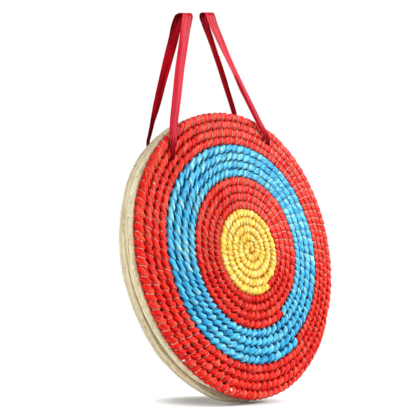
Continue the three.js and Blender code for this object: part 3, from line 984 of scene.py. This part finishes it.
stitch_turn = (np.arange(MIDDLE_STITCHES) * math.tau / MIDDLE_STITCHES)[:, None]
stitch_bend = np.radians(
    np.linspace(-MIDDLE_STITCH_REACH, MIDDLE_STITCH_REACH, MIDDLE_STITCH_RINGS))[None, :]
stitch_turn, stitch_bend = np.broadcast_arrays(stitch_turn, stitch_bend)
middle_stitches = lay_threads(
    "middle_stitches",
    middle_surface(stitch_turn, stitch_bend, middle_rise(stitch_turn) - MIDDLE_PINCH),
    outward_from(stitch_turn, stitch_bend), MAT_THREAD_RADIUS)

# %% [markdown]
# ## The rear mat
# A thicker plain rope on its own spiral. The straw runs lengthwise and is held by a stitch
# every 8 or 9 cm, where it is drawn in a little. Its outer turns aren't round either, and
# the same trick as on the front rope lets them swell and shrink with the angle. It could be
# one disc, as the middle mat is, but its back can be seen, so all of its turns are made.

# %% Line of the rear rope
REAR_PITCH = 18.4
REAR_TURNS = 14.05
REAR_END_ANGLE = -40.0
REAR_FRONT, REAR_BACK = 35.0, 54.0
# How far the outermost turn stands out of the plain spiral at some angles, in millimetres
REAR_RISES = (
    (100, -3.0), (118, -2.0), (130, 1.5), (140, 1.8), (150, 0.8), (170, 0.3), (186, -2.0),
    (205, -2.8), (220, -4.4), (235, -2.2), (260, -2.4), (300, 0.0), (360, 0.0), (400, -1.0),
    (460, -3.0),
)
# The back is drawn in towards the rim: by how much, in millimetres, and from which turn
REAR_DRAWN_IN, DRAWN_IN_FROM = 1.5, 8
REAR_START = 0.1
REAR_SAMPLES = 20001

rise_angles, rises = zip(*REAR_RISES)
rear_turns = np.linspace(REAR_START, REAR_TURNS, REAR_SAMPLES)
rear_steps = math.tau * REAR_PITCH * rear_turns[1:] * np.diff(rear_turns)
rear_length = np.concatenate([[0.0], np.cumsum(rear_steps)])


def rear_line(turns):
    """The angle in degrees and the radius in millimetres of the rope's middle line."""
    angle = REAR_END_ANGLE + (turns - REAR_TURNS) * 360
    rise = np.interp((angle - rise_angles[0]) % 360 + rise_angles[0], rise_angles, rises)
    return angle, REAR_PITCH * turns + rise * (turns / REAR_TURNS) ** FULLNESS_POWER


def rear_level(turns, out):
    """How far back a point of the rope lies that is out behind its middle line."""
    draw_in = REAR_DRAWN_IN * np.clip((turns - DRAWN_IN_FROM) / (REAR_TURNS - DRAWN_IN_FROM), 0, 1)
    return (REAR_FRONT + REAR_BACK) / 2 + out - draw_in * (out > 0)


print("rear rope:", round(rear_length[-1] / 1000, 2), "m long")

# %% Rear mat
REAR_STEP = 2.6
REAR_SIDES = 15
REAR_TIP = 7.0
REAR_ROUNDNESS = 2.3
REAR_STITCH = 86.0
# How much a stitch narrows the rope, and how far along it does so, in millimetres
REAR_PINCH, REAR_PINCH_SPREAD = 0.1, 4.0
# The turns that its width takes to grow, and how much shallower its tuck gets
REAR_GROWS, REAR_SHALLOWER = 0.5, 0.6
# The straw lies a little inside the plain section, and its ridges: seed and height
REAR_SIZE, REAR_RIDGES = 0.985, (11, 0.06)
# Millimetres of rope for one radian of the ridges' drift, and of girth for one of the section
REAR_DRIFT, REAR_GIRTH = 300.0, 9.0
# The outermost turn's free side is out of the shade, but its seam with the middle mat is in
# it: over how much of a turn this grows, and the seam's spread round the section in degrees
FREE_SIDE_GROWS, SEAM_SPREAD = 0.03, 28

rings = int(rear_length[-1] / REAR_STEP)
turns = np.interp(np.linspace(0, rear_length[-1], rings), rear_length, rear_turns)
around = np.linspace(0, math.tau, REAR_SIDES, endpoint=False)
turns, around = np.meshgrid(turns, around, indexing="ij")
angle, radius = rear_line(turns)
along = np.interp(turns, rear_turns, rear_length)
tuck = tucked(turns, REAR_TURNS)
half = REAR_PITCH / 2 * (1 - TUCK_NARROWER * tuck) * np.clip(turns / REAR_GROWS, START_WIDTH, 1)
half_depth = (REAR_BACK - REAR_FRONT) / 2 * (1 - REAR_SHALLOWER * tuck)
half_depth = half_depth * np.clip(turns / DEPTH_GROWS, START_DEPTH, 1)
stitch_away = from_stitch(along, REAR_STITCH)
size = 1 - REAR_PINCH * fades(stitch_away, REAR_PINCH_SPREAD)
size = size * (REAR_SIZE + ridges(along / REAR_DRIFT, around * REAR_GIRTH, *REAR_RIDGES))
across = half * rounded(np.cos(around), REAR_ROUNDNESS) * size
out = half_depth * rounded(np.sin(around), REAR_ROUNDNESS) * size
radius = radius - REAR_PITCH / 2 * TUCK_NARROWER * tuck + across
# Painted shade for the straw: on the flanks, at the seam with the middle mat and under each stitch.
free_side = np.clip((turns - REAR_TURNS + 1) / FREE_SIDE_GROWS, 0, 1)
height = np.maximum(np.abs(np.sin(around)), free_side * np.cos(around))
flank = np.clip(1 - height / SHADE_HEIGHT, 0, 1)
seam = free_side * fades(gap_between(np.degrees(around), -90), SEAM_SPREAD)
under_stitch = STITCH_SHADE * fades(stitch_away, STITCH_SHADE_SPREAD)
rear_points, rear_numbers = rounded_tip(
    ring_points(radius, np.radians(angle), rear_level(turns, out)),
    {
        "lay": along * MM, "girth": around * REAR_GIRTH * MM, "tone": 0.2 + 0 * along,
        "groove": np.maximum.reduce([flank, seam, under_stitch]),
    },
    REAR_TIP * MM,
)
rear_rope = lay_grid("rear_rope", rear_points, closed_v=True, caps=True, attributes=rear_numbers)
print(rear_rope.name, len(rear_rope.data.vertices), "points")

# %% [markdown]
# ## Finish of the straw
# Dry straw is a bundle of long flat strands, some pale and some darker, a little green in
# places, with dirt and painted shade between them. The noise is stretched a lot along the rope.
# A brown painted shade darkens the flanks, the seam between the mats and the straw under the
# stitches.

# %% Straw material
STRAW_ROUGHNESS, STRAW_GLOSS = (0.65, 0.85), 0.25
STRAW_BUMP = (0.8, 0.002)
# How strongly the tint of the patches counts, and the brown painted shade in the grooves
TINT_SHARE, PAINTED_SHADE_SHARE = 0.8, 0.7


def straw_finish(name):
    """Dry straw, nearly without gloss."""
    material, shader, add = finish_nodes(name)
    place = rope_place(add)
    strands = noise(add, place, (14.0, 380.0, 1.0), detail=3.0, roughness=0.65)
    broken = noise(add, place, (120.0, 420.0, 1.0))
    patches = noise(add, place, (16.0, 60.0, 1.0))
    level = weighed(add, 0.0, (strands, 0.7), (broken, 0.3))
    colour = ramp(add, level, [
        (0.36, paint(136, 108, 70)), (0.43, paint(212, 198, 164)),
        (0.53, paint(244, 236, 214)), (0.64, paint(252, 248, 236)),
    ])
    tinted = ramp(add, patches, [(0.35, paint(234, 233, 216)), (0.62, paint(247, 237, 214))])
    colour = blend_colours(add, "MULTIPLY", TINT_SHARE, colour, tinted)
    # Painted shade: brown where the groove number marks the flanks, the seam and the stitches
    deep = weighed(add, 0.0, (attribute(add, "groove"), PAINTED_SHADE_SHARE))
    colour = blend_colours(add, "MIX", deep, colour, paint(120, 84, 48))
    gloss = uneven_gloss(add, broken, *STRAW_ROUGHNESS)
    finish_surface(shader, add, colour, gloss, level, *STRAW_BUMP)
    shader.inputs["Specular IOR Level"].default_value = STRAW_GLOSS
    return material


straw = straw_finish("dry_straw")
for mat, node in ((middle_mat, "middle_straw_mat"), (rear_rope, "rear_straw_coil")):
    mat.data.materials.append(straw)
    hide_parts(node)
    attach(mat, "boss")

# %% [markdown]
# ## Stitches of the rear mat
# The same thread that binds the coloured rope holds the plain one, but with far fewer
# crossings, each in its pinch.

# %% Rear stitches
# Where a stitch starts and ends round the rope's section, in degrees, and its rings
REAR_STITCH_FROM, REAR_STITCH_TO, REAR_STITCH_RINGS = -60, 180, 15
# A stitch lies in its pinch, at this share of the rope's own size
STITCH_INSET = 0.92

stitch_count = int(rear_length[-1] / REAR_STITCH)
at = np.arange(1, stitch_count) * REAR_STITCH
stitch_turns = np.interp(at, rear_length, rear_turns)[:, None]
stitch_around = np.linspace(
    math.radians(REAR_STITCH_FROM), math.radians(REAR_STITCH_TO), REAR_STITCH_RINGS)[None, :]
stitch_turns, stitch_around = np.broadcast_arrays(stitch_turns, stitch_around)
angle, radius = rear_line(stitch_turns)
across = REAR_PITCH / 2 * rounded(np.cos(stitch_around), REAR_ROUNDNESS) * STITCH_INSET
out = (REAR_BACK - REAR_FRONT) / 2
out = out * rounded(np.sin(stitch_around), REAR_ROUNDNESS) * STITCH_INSET
rear_stitches = lay_threads(
    "rear_stitches",
    ring_points(radius + across, np.radians(angle), rear_level(stitch_turns, out)),
    outward_from(np.radians(angle), stitch_around), MAT_THREAD_RADIUS)
straw_thread = thread_finish("straw_thread", paint(240, 230, 204), paint(186, 166, 126))
for stitches in (middle_stitches, rear_stitches):
    stitches.data.materials.append(straw_thread)
    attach(stitches, "boss")

# %% [markdown]
# ## Ribbon loops
# Each loop is a satin ribbon, 25 mm wide. It is gathered into lengthwise pleats where it
# goes through the mats, opens out on its way up and lies flat over the bar. A sheet of
# points across and along is the plainest way to make it: the pleats are a wave across the
# ribbon that deepens as the ribbon narrows, so its real width stays the same.

# %% Ribbon routes
RIBBON_WIDTH = 25.0
RIBBON_THICKNESS = 0.4
# Once round each loop from inside the mats: x, y, z and the width there, in millimetres
RIBBON_ROUTES = {
    "left": (
        (-128.7, 52, -233.5, 4.2), (-128.7, 34, -233.5, 4.2), (-129.0, 27.5, -232.4, 4.3),
        (-129.2, 25.0, -230.0, 4.6), (-128.4, 23.3, -225.5, 5.4), (-125.6, 22.6, -217.5, 8.0),
        (-122.4, 21.9, -209.5, 10.8), (-118.8, 21.2, -201.0, 13.6), (-113.7, 20.4, -185.5, 17.2),
        (-107.3, 19.0, -169.5, 18.6), (-100.3, 17.0, -153.7, 19.3), (-86.2, 12.8, -121.7, 20.6),
        (-72.2, 8.6, -89.2, 21.0), (-55.3, 3.2, -53.5, 21.4), (-40.1, -1.9, -20.5, 23.0),
        (-33.2, -4.6, -6.0, 24.6), (-30.4, -5.6, 1.0, 25.0), (-30.0, -3.4, 5.2, 25.0),
        (-30.2, 0.8, 6.6, 25.0), (-31.0, 6.0, 5.9, 25.0), (-33.0, 10.4, 2.6, 25.0),
        (-36.6, 13.2, -3.2, 24.6), (-43.5, 17.0, -14.6, 24.2), (-51.1, 22.8, -32.5, 23.8),
        (-65.1, 34.3, -63.4, 22.6), (-79.0, 45.6, -94.3, 19.6), (-92.4, 56.5, -125.2, 17.8),
        (-99.2, 62.0, -140.6, 15.4), (-105.5, 67.1, -156.1, 11.6), (-111.8, 72.4, -171.6, 7.8),
        (-116.0, 76.6, -182.0, 5.6), (-118.6, 79.8, -189.5, 5.2), (-121.2, 80.8, -200.0, 5.2),
        (-125.6, 80.8, -218.0, 5.0), (-128.4, 80.2, -230.0, 4.6), (-128.7, 77.4, -233.3, 4.3),
        (-128.7, 72, -233.5, 4.2),
    ),
    "right": (
        (131.4, 52, -242.8, 4.2), (131.4, 34, -242.8, 4.2), (131.5, 27.5, -242.4, 4.3),
        (131.5, 25.0, -240.8, 4.8), (130.9, 22.9, -237.2, 6.4), (129.4, 21.0, -232.4, 8.8),
        (125.6, 19.8, -224.0, 12.0), (121.2, 18.6, -213.6, 14.2), (111.6, 17.2, -193.3, 15.3),
        (103.0, 15.4, -173.7, 15.8), (94.3, 13.6, -154.1, 15.8), (85.6, 11.8, -134.8, 15.4),
        (77.6, 9.7, -115.9, 14.4), (69.5, 7.7, -97.1, 14.6), (61.4, 5.5, -78.6, 16.2),
        (52.5, 3.0, -56.7, 18.2), (40.6, -0.8, -28.0, 20.4), (34.0, -3.4, -12.5, 22.6),
        (30.6, -5.2, -3.0, 24.6), (29.4, -5.2, 3.4, 25.0), (28.8, -2.0, 7.2, 25.0),
        (28.6, 2.4, 8.2, 25.0), (29.0, 6.8, 6.6, 24.4), (30.2, 10.2, 1.4, 22.6),
        (32.4, 12.6, -8.5, 19.0), (39.2, 16.8, -21.8, 16.8), (46.3, 21.4, -35.2, 15.4),
        (53.5, 26.0, -48.7, 14.6), (64.6, 33.3, -69.3, 14.4), (73.9, 39.8, -86.8, 15.0),
        (82.9, 46.2, -104.5, 15.2), (92.7, 53.0, -122.6, 14.2), (102.3, 59.7, -140.9, 14.0),
        (112.0, 66.8, -159.6, 13.8), (120.0, 73.4, -175.0, 12.4), (125.4, 79.0, -187.5, 9.6),
        (127.8, 80.8, -200.0, 8.0), (129.8, 80.8, -222.0, 6.2), (131.2, 80.2, -238.6, 4.8),
        (131.4, 77.4, -242.6, 4.3), (131.4, 72, -242.8, 4.2),
    ),
}
ROWS_ALONG = 300
ROWS_ACROSS = 33
ROUTE_FINENESS = 24


def smooth_loop(keys, count):
    """The closed smooth curve through the keys, in even steps, and its length."""
    total = len(keys)
    pieces = []
    for i in range(total):
        p0, p1, p2, p3 = (keys[(i + k - 1) % total] for k in range(4))
        spans = ((p0, p1), (p1, p2), (p2, p3))
        d1, d2, d3 = (np.linalg.norm(b[:3] - a[:3]) ** 0.5 for a, b in spans)
        t = np.linspace(0, 1, ROUTE_FINENESS, endpoint=False)[:, None] * d2
        a1 = (-t / d1) * p0 + (1 + t / d1) * p1
        a2 = (1 - t / d2) * p1 + (t / d2) * p2
        a3 = (1 - (t - d2) / d3) * p2 + ((t - d2) / d3) * p3
        b1 = ((d2 - t) / (d1 + d2)) * a1 + ((t + d1) / (d1 + d2)) * a2
        b2 = ((d2 + d3 - t) / (d2 + d3)) * a2 + (t / (d2 + d3)) * a3
        pieces.append((1 - t / d2) * b1 + (t / d2) * b2)
    fine = np.concatenate(pieces)
    fine = np.vstack([fine, fine[:1]])
    run = np.concatenate([[0], np.cumsum(np.linalg.norm(np.diff(fine[:, :3], axis=0), axis=1))])
    even = np.linspace(0, run[-1], count, endpoint=False)
    return np.stack([np.interp(even, run, fine[:, k]) for k in range(4)], -1), run[-1]


for side, route in RIBBON_ROUTES.items():
    print("the", side, "route has", len(route), "places")

# %% Pleats across the ribbon
PLEATS = 3.0
# How unevenly high the pleats are, from one edge to the other
PLEATS_UNEVEN = 0.35
TALLEST_PLEAT = 5.0
# Below the first width the ribbon starts to pleat, and at the second it is all pleats
GATHER_FROM, GATHER_FULL = 15.0, 6.0
OPEN_SLACK = 1.002
# The most of its real width that the pleats use up
MOST_USED = 0.98
# The pleats' height is found by halving, on a section with finer steps than the mesh has
HALVINGS, FINER_STEPS = 14, 8


def cross_section(width, camber, drift):
    """Heights across the ribbon that use up what its narrowed width has to spare."""
    share = np.linspace(0, 1, FINER_STEPS * (ROWS_ACROSS - 1) + 1)
    bow = camber * (1 - (2 * share - 1) ** 2)
    uneven = 1 + PLEATS_UNEVEN * np.sin(math.tau * share + 2 * drift)
    wave = np.cos(math.tau * PLEATS * share + drift) * uneven / 2
    gathered = np.clip((GATHER_FROM - width) / (GATHER_FROM - GATHER_FULL), 0, 1)
    slack = width * OPEN_SLACK
    wanted = slack + (RIBBON_WIDTH * MOST_USED - slack) * gathered
    low, high = 0.0, TALLEST_PLEAT
    for _ in range(HALVINGS):
        tall = (low + high) / 2
        used = np.hypot(np.diff(share) * width, np.diff(bow + tall * wave)).sum()
        low, high = (tall, high) if used < wanted else (low, tall)
    return (bow + tall * wave)[::FINER_STEPS]


print("at 8 mm wide the pleats are", round(float(np.ptp(cross_section(8.0, 0.0, 0.0))), 1), "mm high")

# %% [markdown]
# ## How a ribbon lies
# On its way a ribbon bows a little, and its pleats drift from side to side. The right
# one's front leg is turned a little about its own line, and further down its left third is
# folded back. A cloth simulation could find such a form too, but not this one on purpose.

# %% Ribbon surface
# The bow across an open ribbon: its height, how far from the bar it starts and is full, and
# the widths between which it grows
CAMBER = 1.6
CAMBER_FROM, CAMBER_FULL = 12.0, 50.0
CAMBER_NARROW, CAMBER_WIDE = 5, 19
# How the pleats drift: how often round the loop, and how far
PLEAT_DRIFTS = ((4, 0.9), (7, 0.5))
LEAST_WIDTH = 4.2
# Where a front leg is turned about its own line: largest turn in degrees, and the four heights
# between which it grows and fades. A turned ribbon is as much wider as it looks narrower.
TWISTS = {
    "left": (0.0, -20.0, -60.0, -120.0, -160.0), "right": (14.0, -14.0, -70.0, -90.0, -150.0),
}
TWIST_WIDENS = 0.4
# Where a front leg's left third is folded back: depth, and the same four heights
FOLDS = {
    "left": (0.0, -20.0, -60.0, -120.0, -160.0), "right": (4.2, -100.0, -135.0, -205.0, -232.0),
}
FOLD_DRAWN_IN = 1.05


def between_heights(height, size, start, full, still_full, end):
    """A size that grows and fades with the height, on the way down."""
    return size * np.interp(-height, (-start, -full, -still_full, -end), (0.0, 1.0, 1.0, 0.0))


def unit(vectors):
    """The same directions, each of length 1."""
    return vectors / np.linalg.norm(vectors, axis=1, keepdims=True)


def ribbon_loop(name, side, route):
    """The loop as one thin sheet."""
    line, length = smooth_loop(np.array(route, float), ROWS_ALONG)
    centre = line[:, :3]
    front_leg = np.arange(ROWS_ALONG) < np.argmax(centre[:, 2])
    twist = front_leg * np.radians(between_heights(centre[:, 2], *TWISTS[side]))
    fold = front_leg * between_heights(centre[:, 2], *FOLDS[side])
    widened = 1 + TWIST_WIDENS * twist / max(twist.max(), 1e-6)
    width = np.clip(line[:, 3] * widened, LEAST_WIDTH, RIBBON_WIDTH)
    ahead = unit(np.roll(centre, -1, 0) - np.roll(centre, 1, 0))
    flat = unit(np.array([1.0, 0.0, 0.0]) - ahead[:, :1] * ahead)
    out = np.cross(flat, ahead)
    cosine, sine = np.cos(twist)[:, None], np.sin(twist)[:, None]
    flat, out = flat * cosine - out * sine, out * cosine + flat * sine
    from_bar = np.linalg.norm(centre * [0, 1, 1], axis=1)
    camber = CAMBER * np.clip((from_bar - CAMBER_FROM) / (CAMBER_FULL - CAMBER_FROM), 0, 1)
    camber = camber * np.clip((width - CAMBER_NARROW) / (CAMBER_WIDE - CAMBER_NARROW), 0, 1)
    along = np.arange(ROWS_ALONG) / ROWS_ALONG * length
    drift = sum(size * np.sin(math.tau * along / length * waves) for waves, size in PLEAT_DRIFTS)
    heights = np.array([cross_section(*row) for row in zip(width, camber, drift)])
    share = np.linspace(0, 1, ROWS_ACROSS)
    flap = fold[:, None] * np.clip(1 - 3 * share, 0, 1)[None, :]
    heights = heights - flap
    across = (share[None, :] - 0.5) * width[:, None] + FOLD_DRAWN_IN * flap
    points = centre[:, None, :] + across[:, :, None] * flat[:, None, :]
    points = points + heights[:, :, None] * out[:, None, :]
    thing = lay_grid(
        name, points * MM, closed_u=True,
        attributes={
            "along": np.repeat(along[:, None], ROWS_ACROSS, 1) * MM,
            "across": np.repeat(share[None, :] * RIBBON_WIDTH, ROWS_ALONG, 0) * MM,
            "gather": np.repeat((1 - width / RIBBON_WIDTH)[:, None], ROWS_ACROSS, 1),
        },
    )
    thick = thing.modifiers.new("thickness", "SOLIDIFY")
    thick.thickness = RIBBON_THICKNESS * MM
    thick.offset = 0.0
    thick.material_offset = 1
    return thing, length


# %% [markdown]
# ## Satin
# The ribbon is single-faced satin: its outer side has a sheen, and its inner side is a
# deeper, duller red. The thickness modifier gives the inner side the second material. On both
# sides the shades follow the same soft folds as the bump, so their light and dark are partly
# painted sheen and shade, and gathered stretches are darkened by painted shade of their pleats.

# %% Satin materials
SATIN_BUMP = (0.3, 0.0006)
# For each side: three shades (deep, plain, light), smoothest and dullest roughness, gloss
SATIN_FACE = (
    paint(170, 12, 34), paint(204, 30, 52), paint(232, 58, 78), (0.36, 0.48), 0.025)
SATIN_BACK = (
    paint(64, 0, 4), paint(142, 0, 14), paint(200, 10, 32), (0.54, 0.66), 0.01)
# The more a ribbon is gathered, the more of its light its own pleats take
GATHER_SHADES = [
    (0.1, WHITE), (0.42, (0.84, 0.72, 0.74, 1)), (0.66, (0.74, 0.56, 0.58, 1)),
    (0.84, (0.35, 0.2, 0.22, 1)),
]


def satin_finish(name, deep, plain, light, roughness, gloss):
    """Red satin with long soft folds and a fine lengthwise weave, its shades along the folds partly
    painted sheen and shade.
    """
    material, shader, add = finish_nodes(name)
    place = add("ShaderNodeCombineXYZ", {
        "X": attribute(add, "along"), "Y": attribute(add, "across")}).outputs[0]
    folds = noise(add, place, (9.0, 160.0, 1.0))
    threads = noise(add, place, (60.0, 2600.0, 1.0))
    # Painted sheen and shade: the shades follow the folds that also make the bump.
    level = weighed(add, 0.0, (folds, 0.8), (threads, 0.2))
    colour = ramp(add, level, [(0.34, deep), (0.5, plain), (0.66, light)])
    gathered = ramp(add, attribute(add, "gather"), GATHER_SHADES)
    colour = blend_colours(add, "MULTIPLY", 1.0, colour, gathered)
    finish_surface(shader, add, colour, uneven_gloss(add, folds, *roughness), level, *SATIN_BUMP)
    shader.inputs["Specular IOR Level"].default_value = gloss
    return material


satin = satin_finish("red_satin", *SATIN_FACE)
satin_back = satin_finish("red_satin_back", *SATIN_BACK)
print("satin:", satin.name, "and", satin_back.name)

# %% Ribbons handed over
for name, route in RIBBON_ROUTES.items():
    ribbon, length = ribbon_loop(f"ribbon_{name}", name, route)
    ribbon.data.materials.append(satin)
    ribbon.data.materials.append(satin_back)
    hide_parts(f"ribbon_loop_{name}")
    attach(ribbon, f"{name}_loop")
    print(ribbon.name, "is", round(length), "mm round")

# %% [markdown]
# ## Hidden ties
# The cords that lace the mats together lie deep in the grooves. The solids are the right
# shape and size, so they stay and only get a cord's finish.

# %% Tie finish
tie_cord = thread_finish("tie_cord", paint(104, 92, 70), paint(62, 52, 38))
for name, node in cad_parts.items():
    if name.startswith("mat_tie_"):
        node.data.materials.clear()
        node.data.materials.append(tie_cord)

print(tie_cord.name, "is on", tie_cord.users, "ties")

# %% [markdown]
# ## Floor
# The floor is a plain pale grey disc, lit like the boss, and it keeps the boss's own soft
# shadow. A floor that only catches shadows could do it too, but wouldn't be a real surface.
# Away from the contact it glows a little, for the camera and for gloss only, until it is as
# white as the background, so the edge of the disc doesn't show. Near the contact, a little to
# its left and behind it, the floor doesn't glow, and that soft grey patch is painted shade
# around the boss's real shadow.

# %% Place of the floor
FLOOR_NORMAL = Vector((0.3146, -0.0733, 0.9464)).normalized()
FLOOR_RADIUS = 0.3
FLOOR_GAP = 0.0005
# The disc's middle lies this far left of the contact and behind it, and with it the painted shade
# patch where the floor doesn't glow
SHADE_PATCH_LEFT, SHADE_PATCH_BACK = 0.030, 0.040
FLOOR_EDGES = 96

rim_points = np.array([v.co[:] for v in rear_rope.data.vertices])
contact = Vector(rim_points[(rim_points @ np.array(FLOOR_NORMAL)).argmin()])
floor_ahead = (CAMERA_AHEAD - FLOOR_NORMAL * CAMERA_AHEAD.dot(FLOOR_NORMAL)).normalized()
floor_right = floor_ahead.cross(FLOOR_NORMAL)
floor_centre = contact - FLOOR_NORMAL * FLOOR_GAP
floor_centre = floor_centre - floor_right * SHADE_PATCH_LEFT + floor_ahead * SHADE_PATCH_BACK
edge_points = []
for a in np.linspace(0, math.tau, FLOOR_EDGES, endpoint=False):
    edge_points.append((FLOOR_RADIUS * math.cos(a), FLOOR_RADIUS * math.sin(a), 0.0))
floor = new_thing("floor", edge_points, [list(range(FLOOR_EDGES))])
floor_axes = Matrix((floor_right, floor_ahead, FLOOR_NORMAL)).transposed().to_4x4()
floor.matrix_world = Matrix.Translation(floor_centre) @ floor_axes
print("floor centre:", [round(x, 3) for x in floor_centre])

# %% Floor material
FLOOR_COLOUR = 0.6
FLOOR_ROUGHNESS = 0.9
# The glow starts and is full this far from the middle of the disc, which lies left and back;
# the unglowing floor inside is a painted shade patch
GLOW_STARTS, GLOW_FULL = 0.04, 0.15

floor_material, floor_shader, add = finish_nodes("pale_floor")
floor_shader.inputs["Base Color"].default_value = (FLOOR_COLOUR, FLOOR_COLOUR, FLOOR_COLOUR, 1.0)
floor_shader.inputs["Roughness"].default_value = FLOOR_ROUGHNESS
floor_shader.inputs["Specular IOR Level"].default_value = 0.0
floor_shader.inputs["Emission Color"].default_value = WHITE
place = add("ShaderNodeTexCoord").outputs["Object"]
from_centre = add("ShaderNodeVectorMath", {0: place}, operation="LENGTH").outputs["Value"]
glow = worked_out(add, "POWER", carried(add, from_centre, GLOW_STARTS, GLOW_FULL, 0.0, 1.0), 2.0)
glow = worked_out(add, "MULTIPLY", backdrop_rays(add), glow)
feed(floor_shader.inputs["Emission Strength"], glow)
# From below it is clear, so that it doesn't hide the boss in a view from under it
clear = add("ShaderNodeBsdfTransparent").outputs[0]
under = add("ShaderNodeNewGeometry").outputs["Backfacing"]
one_sided = add("ShaderNodeMixShader", {0: under, 1: floor_shader.outputs[0], 2: clear})
output = floor_material.node_tree.nodes["Material Output"]
feed(output.inputs["Surface"], one_sided.outputs[0])
floor.data.materials.append(floor_material)
print("the floor glows from", GLOW_STARTS, "m on, and is white at", GLOW_FULL, "m")
